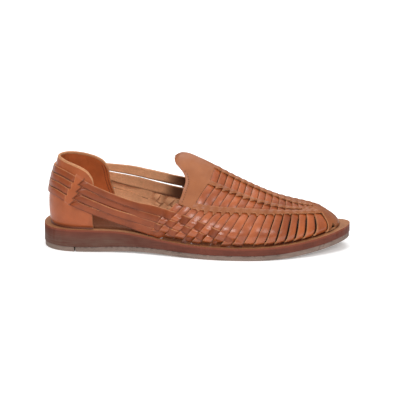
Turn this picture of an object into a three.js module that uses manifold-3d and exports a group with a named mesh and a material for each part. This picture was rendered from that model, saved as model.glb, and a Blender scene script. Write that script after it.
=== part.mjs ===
// Woven leather huarache sandal, right shoe. Millimetres, +X to the toe, +Y to the inner side, +Z up.
import * as THREE from 'three';
import Module from 'manifold-3d';

const wasm = await Module();
wasm.setup();

// Driving sizes. A station is the distance from the back of the sole.
const LENGTH = 290;
const OUTSOLE = 4.6;
const INSOLE = 2.2;
const WALL = 2.1;
const PANEL = 1.5;
const COUNTER = 2.4;
const STRAP = 2.0;
const STRAP_WIDTH = 5.6;
const KEEPER_WIDTH = 6.5;
const KEEPER_THICK = 1.3;
const GAP = 0.3;
const SLIP = 0.45;
const LOOSE = 0.75;
const SUNK = 1.1;
const JOINT = 32;

// The sole seen from above: centre line (+ to the inner side) and half width, before the ends are rounded.
const OUTLINE = table(['station', 'centre', 'half'], [
  [0, 0, 33.5],
  [45, 0, 33],
  [80, -1.5, 31.5],
  [110, -5, 33.5],
  [140, -6.5, 39],
  [170, -4.5, 45.5],
  [200, -1, 48.5],
  [230, 3, 47.5],
  [260, 7, 45],
  [290, 10, 43],
]);
const HEEL_END = { radius: 36, power: 2.25 };
const TOE_END = { radius: 80, power: 1.95 };

// The sole seen from the side: its underside, with arch and toe spring, and the top of the midsole.
const LEVELS = table(['station', 'under', 'top'], [
  [0, 0, 21.5],
  [40, 0, 21.5],
  [70, 1, 21],
  [95, 2, 18.5],
  [115, 1.6, 15.6],
  [135, 0.6, 13.6],
  [160, 0, 12.5],
  [205, 0, 12.4],
  [235, 1.6, 14],
  [262, 5, 17.4],
  [290, 10.5, 22.9],
]);

// How far the upper stands inside the sole's edge.
const FEATHER = { heel: 6, side: 3.5, toe: 11 };

// Sections of the last. run is the share of the way along the feather line from heel back to toe tip.
const SECTIONS = table(['run', 'crest', 'height', 'centre', 'wall', 'dome', 'bulge'], [
  [0.00, 56, 113, 0, 4.2, 2.0, 2.2],
  [0.12, 62, 114, 0, 3.6, 2.0, 2.2],
  [0.25, 86, 108, 0, 2.8, 2.0, 2.2],
  [0.32, 105, 100.5, 0.6, 2.55, 2.1, 2.4],
  [0.37, 119.5, 85, 4.5, 2.35, 2.2, 2.5],
  [0.405, 132, 88.4, 5, 2.2, 2.2, 2.5],
  [0.45, 148, 83.2, 4.5, 2.05, 2.0, 2.5],
  [0.55, 178, 68, 4.5, 2.0, 2.0, 2.5],
  [0.66, 206, 54.8, 5.5, 2.05, 2.0, 2.5],
  [0.78, 233, 44.4, 7, 2.1, 2.0, 2.5],
  [0.89, 250, 40, 8.5, 1.9, 1.9, 2.0],
  [1.00, 255, 38, 9.5, 1.3, 1.4, 0.5],
]);
const BULGE_SHARE = 0.3;

// Crosswise strips of the vamp: where each strip's rear edge meets the sole. They lean forward as they rise.
const STRIPS = table(['edge', 'run'], [
  [-7, 0.308],
  [0, 0.467],
  [6, 0.603],
  [12, 0.762],
  [15, 0.858],
  [16, 0.908],
]);
const FIRST_STRIP = -7;
const PANEL_STRIP = 0;
const LAST_STRIP = 16;
const FIRST_SLIT = 10;
const SLIT = 0.005;
const SLIT_TOP = 0.52;
const LEAN = 0.07;
const GROOVE = 0.5;

// Bands of the panel that run to the toe: middle and half width as shares of the rise from sole to crest.
const BANDS = table(['run', 'low', 'lowHalf', 'high', 'highHalf', 'spine'], [
  [0.40, 0.375, 0.030, 0.690, 0.025, 0.045],
  [0.47, 0.375, 0.030, 0.690, 0.025, 0.045],
  [0.54, 0.425, 0.032, 0.705, 0.025, 0.045],
  [0.61, 0.500, 0.034, 0.705, 0.025, 0.045],
  [0.67, 0.555, 0.036, 0.720, 0.025, 0.050],
  [0.76, 0.635, 0.038, 0.740, 0.028, 0.065],
  [0.84, 0.650, 0.045, 0.775, 0.030, 0.085],
  [0.91, 0.630, 0.050, 0.780, 0.030, 0.100],
  [1.00, 0.630, 0.050, 0.780, 0.030, 0.100],
]);

// The panel's rear edge at the throat, from its lower corner to the crest: the run at each rise.
const THROAT = table(['rise', 'run'], [
  [0.30, 0.446],
  [0.42, 0.451],
  [0.50, 0.4515],
  [0.58, 0.451],
  [0.65, 0.440],
  [0.70, 0.4235],
  [0.75, 0.409],
  [0.80, 0.4015],
  [0.88, 0.3945],
  [1.00, 0.3905],
]);

// Collar of the counter on the outer and the inner side: its height at each run, down to its front corner.
const COLLAR = {
  '-1': table(['run', 'height'], [
    [0, 85.8],
    [0.055, 86.3],
    [0.073, 85.6],
    [0.112, 83.2],
    [0.14, 80.5],
    [0.164, 76.7],
    [0.178, 72.7],
    [0.19, 67],
    [0.194, 62],
  ]),
  1: table(['run', 'height'], [
    [0, 85.8],
    [0.052, 85],
    [0.089, 84],
    [0.118, 82.6],
    [0.15, 80.6],
    [0.184, 77.3],
    [0.209, 72],
    [0.223, 64.5],
    [0.232, 55],
    [0.247, 42],
    [0.262, 24],
  ]),
};
const COUNTER_FRONT = { '-1': 0.194, 1: 0.262 };

// Heights of the four straps on their way forward, then the run and the height at which each one ends.
// On the outer side all go down to the sole. On the inner side the top two go under the panel.
const STRAP_COLUMNS = ['strap', 'back', 'heel', 'keeper', 'collar', 'side', 'weave', 'end', 'land', 'tuck'];
const STRAPS = {
  '-1': table(STRAP_COLUMNS, [
    [0, 74.4, 74.3, 68.6, 60.8, 52.3, 45.2, 0.64, 16.9, 0],
    [1, 67.4, 67.8, 61.9, 54.2, 45.8, 38.8, 0.575, 16.9, 0],
    [2, 61, 61.5, 54.4, 47.2, 38.7, 32.5, 0.51, 17, 0],
    [3, 54.8, 54.6, 47, 39.8, 32, 26.2, 0.44, 18, 0],
  ]),
  1: table(STRAP_COLUMNS, [
    [0, 74.4, 72.3, 69.9, 68.2, 66.5, 64.2, 0.545, 51, 0.85],
    [1, 67.4, 66.4, 63.8, 60.6, 56.9, 53.2, 0.5, 42.8, 0.85],
    [2, 61, 59.4, 56.4, 53, 48.8, 43, 0.57, 16.9, 0],
    [3, 54.8, 52.4, 49, 45.4, 41.2, 35.4, 0.52, 17, 0],
  ]),
};
const TUCK = { from: 0.35, to: 0.425 };
const STRAP_RUNS = { back: 0, heel: 0.085, keeper: 0.14, collar: 0.195, side: 0.262, weave: 0.335 };

// The keeper: the line on the counter that it follows, from above the straps to below them.
const KEEPER = table(['share', 'run', 'height'], [
  [0, 0.147, 78],
  [0.5, 0.132, 59.5],
  [1, 0.112, 40.5],
]);

const COLOURS = {
  leather: 0xaa6543,
  panel: 0xb5774f,
  counter: 0xa9613f,
  midsole: 0x6f4436,
  pale: 0x9a8377,
  sock: 0x9c6b47,
};

// A smooth curve through the rows of a table, whose first column is the place.
function table(names, rows) {
  const [, ...values] = names;
  const places = rows.map((row) => row[0]);
  const curve = new THREE.CubicInterpolant(places, rows.flatMap((row) => row.slice(1)), values.length, []);
  return (place) => {
    const held = THREE.MathUtils.clamp(place, places[0], places[places.length - 1]);
    const sample = curve.evaluate(held);
    return Object.fromEntries(values.map((name, i) => [name, sample[i]]));
  };
}

function rounding(distance, end, cut) {
  const share = THREE.MathUtils.clamp(1 - distance / (end.radius - cut), 0, 1);
  return (1 - share ** end.power) ** (1 / end.power);
}

// A point of the sole's outline, set in by ledges. The angle is 0 at the heel's back and pi at the toe's tip.
function plan(angle, side, ledge) {
  const span = LENGTH - ledge.heel - ledge.toe;
  const along = span * (1 - Math.cos(angle)) / 2;
  const { centre, half } = OUTLINE(ledge.heel + along);
  const ends = rounding(along, HEEL_END, ledge.side) * rounding(span - along, TOE_END, ledge.toe / 2);
  return new THREE.Vector2(ledge.heel + along, centre + side * (half - ledge.side) * ends);
}

function underside(station) {
  return Math.max(0, LEVELS(station).under);
}

// One side of the feather line as a function of the run.
function featherLine(side) {
  const steps = 720;
  const points = Array.from({ length: steps + 1 }, (_, i) => plan(Math.PI * i / steps, side, FEATHER));
  const lengths = [0];
  for (let i = 1; i <= steps; i += 1) {
    lengths.push(lengths[i - 1] + points[i].distanceTo(points[i - 1]));
  }
  return (run) => {
    const target = THREE.MathUtils.clamp(run, 0, 1) * lengths[steps];
    const next = Math.max(1, lengths.findIndex((length) => length >= target - 1e-9));
    const share = (target - lengths[next - 1]) / (lengths[next] - lengths[next - 1]);
    return points[next - 1].clone().lerp(points[next], share);
  };
}

const FEATHERS = { '-1': featherLine(-1), 1: featherLine(1) };

// A point of the last: rise is 0 at the feather line and 1 on the crest.
function lastPoint(side, run, rise) {
  const base = FEATHERS[side](run);
  const section = SECTIONS(run);
  const floor = LEVELS(base.x).top + GAP;
  const angle = THREE.MathUtils.clamp(rise, 0, 1) * Math.PI / 2;
  const inward = 1 - Math.max(0, Math.cos(angle)) ** (2 / section.wall);
  const up = Math.sin(angle) ** (2 / section.dome);
  const out = section.bulge * Math.sin(Math.min(up / BULGE_SHARE, 2) * Math.PI / 2);
  const crest = new THREE.Vector2(section.crest, section.centre);
  const reach = crest.sub(base);
  const place = base.clone().addScaledVector(reach, inward - out / reach.length());
  return new THREE.Vector3(place.x - LENGTH / 2, place.y, floor + (section.height - floor) * up);
}

function riseAt(side, run, height) {
  const section = SECTIONS(run);
  const floor = LEVELS(FEATHERS[side](run).x).top + GAP;
  const up = THREE.MathUtils.clamp((height - floor) / (section.height - floor), 0, 1);
  return Math.asin(up ** (section.dome / 2)) * 2 / Math.PI;
}

function faceNormal(side, run, rise) {
  const [stepRun, stepRise] = [0.002, 0.01];
  const at = (r, v) => lastPoint(side, THREE.MathUtils.clamp(r, 0, 1), THREE.MathUtils.clamp(v, 0, 1));
  const along = at(run + stepRun, rise).sub(at(run - stepRun, rise));
  const up = at(run, rise + stepRise).sub(at(run, rise - stepRise));
  return along.cross(up).multiplyScalar(-side).normalize();
}

// The outward direction, shared by both sides where they meet at heel back, crest and toe tip.
function outward(side, run, rise) {
  const normal = faceNormal(side, run, rise);
  const meets = run < 0.004 || run > 0.996 || rise > 0.996;
  return meets ? normal.add(faceNormal(-side, run, rise)).normalize() : normal;
}

function leather(side, run, rise, offset) {
  return lastPoint(side, run, rise).addScaledVector(outward(side, run, rise), offset);
}

// The run of a leaning line of the vamp at some rise; the lean dies out at the toe.
function leaning(run, rise) {
  return run + LEAN * rise * THREE.MathUtils.clamp((1 - run) / 0.1, 0, 1);
}

// Collects triangles over shared corners and hands back a closed solid.
class Solid {
  constructor() {
    this.points = [];
    this.triangles = [];
    this.known = new Map();
  }

  corner(point) {
    const key = point.toArray().map((value) => Math.round(value * 2000)).join();
    if (!this.known.has(key)) {
      this.known.set(key, this.points.length / 3);
      this.points.push(...point.toArray());
    }
    return this.known.get(key);
  }

  triangle(a, b, c) {
    if (a !== b && b !== c && c !== a) {
      this.triangles.push(a, b, c);
    }
  }

  quad(...points) {
    const [a, b, c, d] = points.map((point) => this.corner(point));
    this.triangle(a, b, c);
    this.triangle(a, c, d);
  }

  manifold() {
    return new wasm.Manifold(new wasm.Mesh({
      numProp: 3,
      vertProperties: new Float32Array(this.points),
      triVerts: new Uint32Array(this.triangles),
    }));
  }
}

// A wall over a grid: point(i, j, layer) is a corner inside (0) or outside (1), keep(i, j) picks cells.
function wallSolid(columns, rows, point, keep, weldEnd = false) {
  const solid = new Solid();
  const kept = (i, j) => i >= 0 && j >= 0 && i < columns && j < rows && keep(i, j);
  for (let i = 0; i < columns; i += 1) {
    for (let j = 0; j < rows; j += 1) {
      if (!kept(i, j)) continue;
      const ring = [[i, j], [i + 1, j], [i + 1, j + 1], [i, j + 1]];
      const outer = ring.map(([a, b]) => point(a, b, 1));
      const inner = ring.map(([a, b]) => point(a, b, 0));
      solid.quad(...outer);
      solid.quad(...inner.slice().reverse());
      const welded = weldEnd && i === columns - 1;
      const open = [!kept(i, j - 1), !kept(i + 1, j) && !welded, !kept(i, j + 1), !kept(i - 1, j)];
      open.forEach((edge, k) => {
        const next = (k + 1) % 4;
        if (edge) solid.quad(inner[k], inner[next], outer[next], outer[k]);
      });
    }
  }
  return solid.manifold();
}

// A flat strip along a path: place(t) gives its middle, its outward direction, and the heights of both faces.
function ribbon(steps, width, place) {
  const at = Array.from({ length: steps + 1 }, (_, i) => place(i / steps));
  const rings = at.map(({ middle, normal, inner, outer }, i) => {
    const ahead = at[Math.min(i + 1, steps)].middle.clone().sub(at[Math.max(i - 1, 0)].middle).normalize();
    const across = normal.clone().cross(ahead).normalize();
    const corner = (sideways, out) => middle.clone()
      .addScaledVector(across, sideways * width / 2)
      .addScaledVector(normal, out);
    return [corner(-1, inner), corner(1, inner), corner(1, outer), corner(-1, outer)];
  });
  const solid = new Solid();
  solid.quad(...rings[0].slice().reverse());
  solid.quad(...rings[steps]);
  for (let i = 0; i < steps; i += 1) {
    for (let k = 0; k < 4; k += 1) {
      const next = (k + 1) % 4;
      solid.quad(rings[i][k], rings[i][next], rings[i + 1][next], rings[i + 1][k]);
    }
  }
  return solid.manifold();
}

// A layer of the sole. Each ring has its own ledge, and a level worked out from the station.
function soleLayer(rings, steps = 44) {
  const solid = new Solid();
  const loops = rings.map(({ ledge, level }) => {
    const point = (i, side) => {
      const flat = plan(Math.PI * i / steps, side, ledge);
      return new THREE.Vector3(flat.x - LENGTH / 2, flat.y, level(flat.x));
    };
    return Array.from({ length: steps + 1 }, (_, i) => ({ outer: point(i, -1), inner: point(i, 1) }));
  });
  for (let i = 0; i < steps; i += 1) {
    loops.slice(1).forEach((upper, k) => {
      const lower = loops[k];
      solid.quad(lower[i].outer, lower[i + 1].outer, upper[i + 1].outer, upper[i].outer);
      solid.quad(lower[i + 1].inner, lower[i].inner, upper[i].inner, upper[i + 1].inner);
    });
    const [bottom, top] = [loops[0], loops[loops.length - 1]];
    solid.quad(top[i].outer, top[i + 1].outer, top[i + 1].inner, top[i].inner);
    solid.quad(bottom[i].inner, bottom[i + 1].inner, bottom[i + 1].outer, bottom[i].outer);
  }
  return solid.manifold();
}

function inset(amount, base = { heel: 0, side: 0, toe: 0 }) {
  return { heel: base.heel + amount, side: base.side + amount, toe: base.toe + amount };
}

function midsole() {
  const bottom = (station) => underside(station) + OUTSOLE + GAP;
  const top = (station) => LEVELS(station).top;
  return soleLayer([
    { ledge: inset(0.3), level: bottom },
    { ledge: inset(0), level: (station) => bottom(station) + 1.2 },
    { ledge: inset(0), level: (station) => top(station) - 2 },
    { ledge: inset(0.6), level: (station) => top(station) - 0.6 },
    { ledge: inset(2), level: top },
  ]);
}

function paleSheet() {
  return soleLayer([
    { ledge: inset(1.4), level: underside },
    { ledge: inset(0.6), level: (station) => underside(station) + 0.9 },
    { ledge: inset(0.6), level: (station) => underside(station) + OUTSOLE },
  ]);
}

// The slanted joint between heel sheet and outsole, as the block that lies on the heel's side of it.
function heelBlock(shift) {
  const outline = new THREE.Shape([
    new THREE.Vector2(-LENGTH, -10),
    new THREE.Vector2(JOINT - LENGTH / 2 + 1 + shift, -10),
    new THREE.Vector2(JOINT - LENGTH / 2 - 3 + shift, 30),
    new THREE.Vector2(-LENGTH, 30),
  ]);
  const block = new THREE.ExtrudeGeometry(outline, { depth: 200, bevelEnabled: false });
  block.rotateX(Math.PI / 2).translate(0, 100, 0);
  const solid = new Solid();
  const position = block.getAttribute('position');
  const corner = (i) => solid.corner(new THREE.Vector3().fromBufferAttribute(position, i));
  for (let i = 0; i < position.count; i += 3) {
    solid.triangle(corner(i), corner(i + 1), corner(i + 2));
  }
  return solid.manifold();
}

function insole() {
  const ledge = inset(WALL + 1, FEATHER);
  const low = (station) => LEVELS(station).top + GAP;
  return soleLayer([{ ledge, level: low }, { ledge, level: (station) => low(station) + INSOLE }]);
}

// Rows from the outer feather line over the crest to the inner one, as a side and a rise.
function rowPlace(rises, j) {
  const count = rises.length - 1;
  return j <= count ? { side: -1, rise: rises[j] } : { side: 1, rise: rises[2 * count - j] };
}

// The woven vamp: strips crowned between grooves, slit apart towards the toe. Behind the panel's corner the
// weave under the straps runs down to the sole.
function wovenWall() {
  const rises = [0, 0.1, 0.19, 0.28, 0.37, 0.45, SLIT_TOP, 0.62, 0.72, 0.82, 0.92, 1];
  const weaveRows = 4;
  const lines = [];
  for (let k = FIRST_STRIP; k <= LAST_STRIP; k += 1) {
    const { run } = STRIPS(k);
    const slit = k >= FIRST_SLIT && k < LAST_STRIP;
    const behind = k > FIRST_STRIP ? (run + STRIPS(k - 1).run) / 2 : null;
    if (behind) lines.push({ run: behind, drop: 0, strip: k - 1 });
    lines.push({ run: slit ? run - SLIT : run, drop: k < PANEL_STRIP ? 0 : GROOVE, strip: k, slit });
    if (slit) lines.push({ run: run + SLIT, drop: GROOVE, strip: k });
  }
  const rows = 2 * (rises.length - 1);
  const [rear, front] = [STRIPS(FIRST_STRIP).run - 0.02, STRIPS(PANEL_STRIP).run];
  const point = (i, j, layer) => {
    const { side, rise } = rowPlace(rises, j);
    const { run, drop } = lines[i];
    const height = rise * Math.min(1, (run - rear) / (front - rear));
    return leather(side, leaning(run, height), height, layer ? -drop : -WALL);
  };
  const keep = (i, j) => {
    const cell = Math.min(j, rows - 1 - j);
    if (lines[i].slit) return rises[cell] >= SLIT_TOP;
    return lines[i].strip >= PANEL_STRIP || cell < weaveRows;
  };
  return wallSolid(lines.length - 1, rows, point, keep);
}

// A place of a ribbon on the last: its inner face lies at the given offset.
function onLast(side, run, rise, inner, thick) {
  const [middle, normal] = [lastPoint(side, run, rise), outward(side, run, rise)];
  return { middle, normal, inner, outer: inner + thick };
}

// One strap, from its end on the inner side round the heel to its end on the outer side.
function strap(row) {
  const { smoothstep, lerp } = THREE.MathUtils;
  return ribbon(72, STRAP_WIDTH, (t) => {
    const side = t < 0.5 ? 1 : -1;
    const { end, land, tuck, ...heights } = STRAPS[side](row);
    const stops = Object.entries(STRAP_RUNS).map(([name, run]) => [run, heights[name]]);
    const run = Math.abs(1 - 2 * t) * end;
    const height = table(['run', 'height'], [...stops, [end, land]])(run).height;
    const laid = smoothstep(run, COUNTER_FRONT[side] + 0.01, COUNTER_FRONT[side] + 0.1);
    const inner = lerp(LOOSE, -SUNK, laid) - tuck * smoothstep(run, TUCK.from, TUCK.to);
    return onLast(side, run, riseAt(side, run, height), inner, STRAP);
  });
}

function upper() {
  return [0, 1, 2, 3].reduce((solid, row) => solid.add(strap(row)), wovenWall());
}

// The smooth panel: throat and tab, spine band, two bands a side and the nose, lying over the woven strips.
function vampPanel() {
  const front = STRIPS(PANEL_STRIP).run;
  const nose = STRIPS(LAST_STRIP).run;
  const [throatColumns, bandColumns, noseColumns] = [5, 22, 4];
  const columns = throatColumns + bandColumns + noseColumns;
  const noseRises = [0.06, 0.25, 0.5];
  const bandRow = noseRises.length;
  const rows = 2 * (bandRow + 9);
  const risesAt = (run) => {
    const { low, lowHalf, high, highHalf, spine } = BANDS(run);
    const lows = [low - lowHalf, low + lowHalf];
    const highs = [high - highHalf, high + highHalf];
    const mids = [(lows[1] * 2 + highs[0]) / 3, (lows[1] + highs[0] * 2) / 3];
    const teeth = [(highs[1] * 2 + 1 - spine) / 3, (highs[1] + 2 - 2 * spine) / 3];
    const below = noseRises.map((share) => share * lows[0] * 2);
    return [...below, ...lows, ...mids, ...highs, ...teeth, 1 - spine, 1];
  };
  const runAt = (i, rise) => {
    if (i < throatColumns) {
      const rear = THROAT(rise).run;
      return THREE.MathUtils.lerp(rear, leaning(front, rise), i / throatColumns);
    }
    const along = (i - throatColumns) / bandColumns;
    const ahead = (i - throatColumns - bandColumns) / noseColumns;
    const run = along <= 1 ? THREE.MathUtils.lerp(front, nose, along) : THREE.MathUtils.lerp(nose, 1, ahead);
    return leaning(run, rise);
  };
  const lineRun = (i) => runAt(Math.max(i, throatColumns), 0);
  const point = (i, j, layer) => {
    const { side, rise } = rowPlace(risesAt(lineRun(i)), j);
    return leather(side, runAt(i, rise), rise, layer ? SLIP + PANEL : SLIP);
  };
  const bands = [bandRow, bandRow + 4, bandRow + 8];
  const keep = (i, j) => {
    const cell = Math.min(j, rows - 1 - j);
    if (i >= throatColumns + bandColumns) return !(i === throatColumns + bandColumns && cell === 0);
    if (i < throatColumns) return cell >= bandRow;
    return bands.includes(cell);
  };
  return wallSolid(columns, rows, point, keep, true);
}

function counterCup() {
  const [columns, rows] = [32, 7];
  return wallSolid(columns, rows, (i, j, layer) => {
    const turn = 1 - 2 * i / columns;
    const side = turn > 0 ? 1 : -1;
    const run = Math.abs(turn) * COUNTER_FRONT[side];
    const floor = LEVELS(FEATHERS[side](run).x).top + GAP;
    const height = THREE.MathUtils.lerp(floor, COLLAR[side](run).height, j / rows);
    return leather(side, run, riseAt(side, run, height), layer ? 0 : -COUNTER);
  }, () => true);
}

function keeper(side) {
  const clear = LOOSE + STRAP + SLIP;
  return ribbon(18, KEEPER_WIDTH, (t) => {
    const share = side < 0 ? t : 1 - t;
    const { run, height } = KEEPER(share);
    const rise = riseAt(side, run, height);
    const lift = THREE.MathUtils.smoothstep(Math.min(share, 1 - share), 0.015, 0.095);
    const inner = THREE.MathUtils.lerp(-1.8, clear, lift);
    return onLast(side, run, rise, inner, KEEPER_THICK);
  });
}

function heelCounter() {
  return counterCup().add(keeper(-1)).add(keeper(1));
}

function named(name, solid, colour, roughness) {
  const { vertProperties, triVerts, numProp } = solid.getMesh();
  const geometry = new THREE.BufferGeometry();
  const position = new THREE.InterleavedBuffer(vertProperties, numProp);
  geometry.setAttribute('position', new THREE.InterleavedBufferAttribute(position, 3, 0));
  geometry.setIndex(new THREE.BufferAttribute(triVerts, 1));
  const flat = geometry.toNonIndexed();
  flat.computeVertexNormals();
  const material = new THREE.MeshStandardMaterial({ color: colour, roughness, metalness: 0 });
  const mesh = new THREE.Mesh(flat, material);
  mesh.name = name;
  return mesh;
}

const sheet = paleSheet();
const sandal = new THREE.Group();
sandal.add(
  named('outsole', sheet.subtract(heelBlock(GAP)), COLOURS.pale, 0.85),
  named('heel_sheet', sheet.intersect(heelBlock(0)), COLOURS.pale, 0.85),
  named('midsole', midsole(), COLOURS.midsole, 0.7),
  named('insole', insole(), COLOURS.sock, 0.6),
  named('upper', upper(), COLOURS.leather, 0.45),
  named('vamp_panel', vampPanel(), COLOURS.panel, 0.45),
  named('heel_counter', heelCounter(), COLOURS.counter, 0.45),
);

export default sandal;
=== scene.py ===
"""Woven leather huarache sandal, right shoe: leather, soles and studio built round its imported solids."""

import math
import random

import bmesh
import bpy
import numpy as np
from bpy.props import FloatProperty, FloatVectorProperty, PointerProperty
from mathutils import Matrix, Vector


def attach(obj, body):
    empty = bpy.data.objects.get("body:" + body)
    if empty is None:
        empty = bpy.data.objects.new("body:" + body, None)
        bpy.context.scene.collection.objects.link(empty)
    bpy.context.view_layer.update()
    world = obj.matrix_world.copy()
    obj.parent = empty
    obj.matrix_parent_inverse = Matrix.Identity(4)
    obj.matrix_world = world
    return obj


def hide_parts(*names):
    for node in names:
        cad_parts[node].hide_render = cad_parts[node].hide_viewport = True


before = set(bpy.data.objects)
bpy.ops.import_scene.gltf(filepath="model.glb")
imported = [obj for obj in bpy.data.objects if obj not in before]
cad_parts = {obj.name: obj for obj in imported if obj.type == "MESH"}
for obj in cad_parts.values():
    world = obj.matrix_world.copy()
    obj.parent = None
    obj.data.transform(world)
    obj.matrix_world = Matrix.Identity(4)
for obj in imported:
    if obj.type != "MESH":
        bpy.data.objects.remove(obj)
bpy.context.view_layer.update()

bl_info = {
    "name": "Woven huarache sandal",
    "version": (1, 0, 0),
    "blender": (4, 5, 0),
    "location": "View3D > Sidebar > Sandal",
    "description": "Builds the leather, the soles and the studio of a woven slip-on sandal",
    "category": "Object",
}

# Sizes of the last are in millimetres. A station is the distance from the back of the sole. Seat is the glue
# line between layers. Heel and toe are rounded over a length with a power, and the feather line, where upper
# and sole meet, is set in at heel, flank and toe. The sides bulge most at some share of the height.
MM = 0.001
LENGTH = 290.0
SEAT = 0.3
HEEL_ROUND = (36.0, 2.25)
TOE_ROUND = (80.0, 1.95)
FEATHER_LEDGE = (6.0, 3.5, 11.0)
BULGE_SHARE = 0.3

# Crosswise strips of the vamp, and of the weave behind it on the inner and on the outer side.
STRIP_COUNT, WEAVE_COUNT, OUTER_WEAVE = 16, 4, 2

# Millimetres of leather: the whole feather line, one unit of run on straps, one unit of rise on strips.
FEATHER_MM, RUN_MM, RISE_MM = 316, 320, 75

# Edges that turn by more than this are cut edges or rims.
SHARP = math.radians(50)


def table(*rows):
    """A smooth curve through rows of numbers, the first number of each row being the place."""
    numbers = np.array(rows, float)
    place, values = numbers[:, 0], numbers[:, 1:]
    slope = np.diff(values, axis=0) / np.diff(place)[:, None]
    tangent = np.concatenate([slope[:1], (slope[1:] + slope[:-1]) / 2, slope[-1:]])

    def at(where):
        held = np.clip(np.asarray(where, float), place[0], place[-1])
        row = np.clip(np.searchsorted(place, held, side="right") - 1, 0, len(place) - 2)
        span = (place[row + 1] - place[row])[..., None]
        share = (held - place[row])[..., None] / span
        rest = 1 - share
        curve = values[row] * rest**2 * (1 + 2 * share) + values[row + 1] * share**2 * (3 - 2 * share)
        curve = curve + span * share * rest * (tangent[row] * rest - tangent[row + 1] * share)
        return np.moveaxis(curve, -1, 0)

    return at


# Sole from above: station, centre line (+ to the inner side), half width before the ends are rounded.
OUTLINE = table(
    (0, 0, 33.5),
    (45, 0, 33),
    (80, -1.5, 31.5),
    (110, -5, 33.5),
    (140, -6.5, 39),
    (170, -4.5, 45.5),
    (200, -1, 48.5),
    (230, 3, 47.5),
    (260, 7, 45),
    (290, 10, 43),
)

# Sole from the side: station, underside with arch and toe spring, top of the wedge.
LEVELS = table(
    (0, 0, 21.5),
    (40, 0, 21.5),
    (70, 1, 21),
    (95, 2, 18.5),
    (115, 1.6, 15.6),
    (135, 0.6, 13.6),
    (160, 0, 12.5),
    (205, 0, 12.4),
    (235, 1.6, 14),
    (262, 5, 17.4),
    (290, 10.5, 22.9),
)

# Sections of the last: run from heel back (0) to toe tip (1), crest station, height, centre, wall, dome and
# bulge.
SECTIONS = table(
    (0.00, 56, 113, 0, 4.2, 2.0, 2.2),
    (0.12, 62, 114, 0, 3.6, 2.0, 2.2),
    (0.25, 86, 108, 0, 2.8, 2.0, 2.2),
    (0.32, 105, 100.5, 0.6, 2.55, 2.1, 2.4),
    (0.37, 119.5, 85, 4.5, 2.35, 2.2, 2.5),
    (0.405, 132, 88.4, 5, 2.2, 2.2, 2.5),
    (0.45, 148, 83.2, 4.5, 2.05, 2.0, 2.5),
    (0.55, 178, 68, 4.5, 2.0, 2.0, 2.5),
    (0.66, 206, 54.8, 5.5, 2.05, 2.0, 2.5),
    (0.78, 233, 44.4, 7, 2.1, 2.0, 2.5),
    (0.89, 250, 40, 8.5, 1.9, 1.9, 2.0),
    (1.00, 255, 38, 9.5, 1.3, 1.4, 0.5),
)

# Rear edge of each crosswise strip: its number from the panel forward, and its run.
STRIPS = table((-7, 0.308), (0, 0.467), (6, 0.603), (12, 0.762), (15, 0.858), (16, 0.908))

# How far a strip's line leans along the shoe at each rise, and how much of that lean each run keeps. All
# lines also stand forward by one amount, which dies out over the last part of the run.
LEAN = table((0, -0.047), (0.2, -0.020), (0.4, -0.003), (0.45, 0), (0.7, 0.010), (1, -0.003))
LEAN_SHARE = table((0.30, 1.3), (0.47, 1.2), (0.60, 1.0), (0.75, 0.5), (0.90, 0.4), (1, 0))
LEAN_START, LEAN_DIES = 0.0315, 0.1

# How much further back a strip's foot stands than its lean alone would put it, below the low band.
FOOT_LEAN = table(
    (0.30, -0.030),
    (0.376, -0.031),
    (0.467, -0.036),
    (0.534, -0.019),
    (0.579, -0.0105),
    (0.62, 0),
    (1, 0),
)
FOOT_RISE, FOOT_CURVE = 0.4, 1.3

# Bands of the panel: run, then in rise the middle and half width of the low and of the high band, and the
# half width of the spine.
BANDS = table(
    (0.40, 0.375, 0.030, 0.690, 0.025, 0.045),
    (0.47, 0.375, 0.030, 0.690, 0.025, 0.045),
    (0.54, 0.425, 0.032, 0.705, 0.025, 0.045),
    (0.61, 0.500, 0.034, 0.705, 0.025, 0.045),
    (0.67, 0.555, 0.036, 0.720, 0.025, 0.050),
    (0.76, 0.635, 0.038, 0.740, 0.028, 0.065),
    (0.84, 0.650, 0.045, 0.775, 0.030, 0.085),
    (0.91, 0.630, 0.050, 0.780, 0.030, 0.100),
    (1.00, 0.630, 0.050, 0.780, 0.030, 0.100),
)

# Throat edge of the panel: rise, run.
THROAT = table(
    (0.30, 0.446),
    (0.42, 0.451),
    (0.50, 0.4515),
    (0.58, 0.451),
    (0.65, 0.440),
    (0.70, 0.4235),
    (0.75, 0.409),
    (0.80, 0.4015),
    (0.88, 0.3935),
    (0.94, 0.3870),
    (1.00, 0.3825),
)

# Collar of the heel counter on the outer and the inner side: run, height. It ends at its front corner.
OUTER_COLLAR = table(
    (0, 85.8),
    (0.055, 86.3),
    (0.073, 85.6),
    (0.112, 83.2),
    (0.14, 80.5),
    (0.164, 76.7),
    (0.178, 72.7),
    (0.19, 67),
    (0.194, 62),
)
INNER_COLLAR = table(
    (0, 85.8),
    (0.052, 85),
    (0.089, 84),
    (0.118, 82.6),
    (0.15, 80.6),
    (0.184, 77.3),
    (0.209, 72),
    (0.223, 64.5),
    (0.232, 55),
    (0.247, 42),
    (0.262, 24),
)
OUTER_FRONT, INNER_FRONT = 0.194, 0.262

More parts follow.
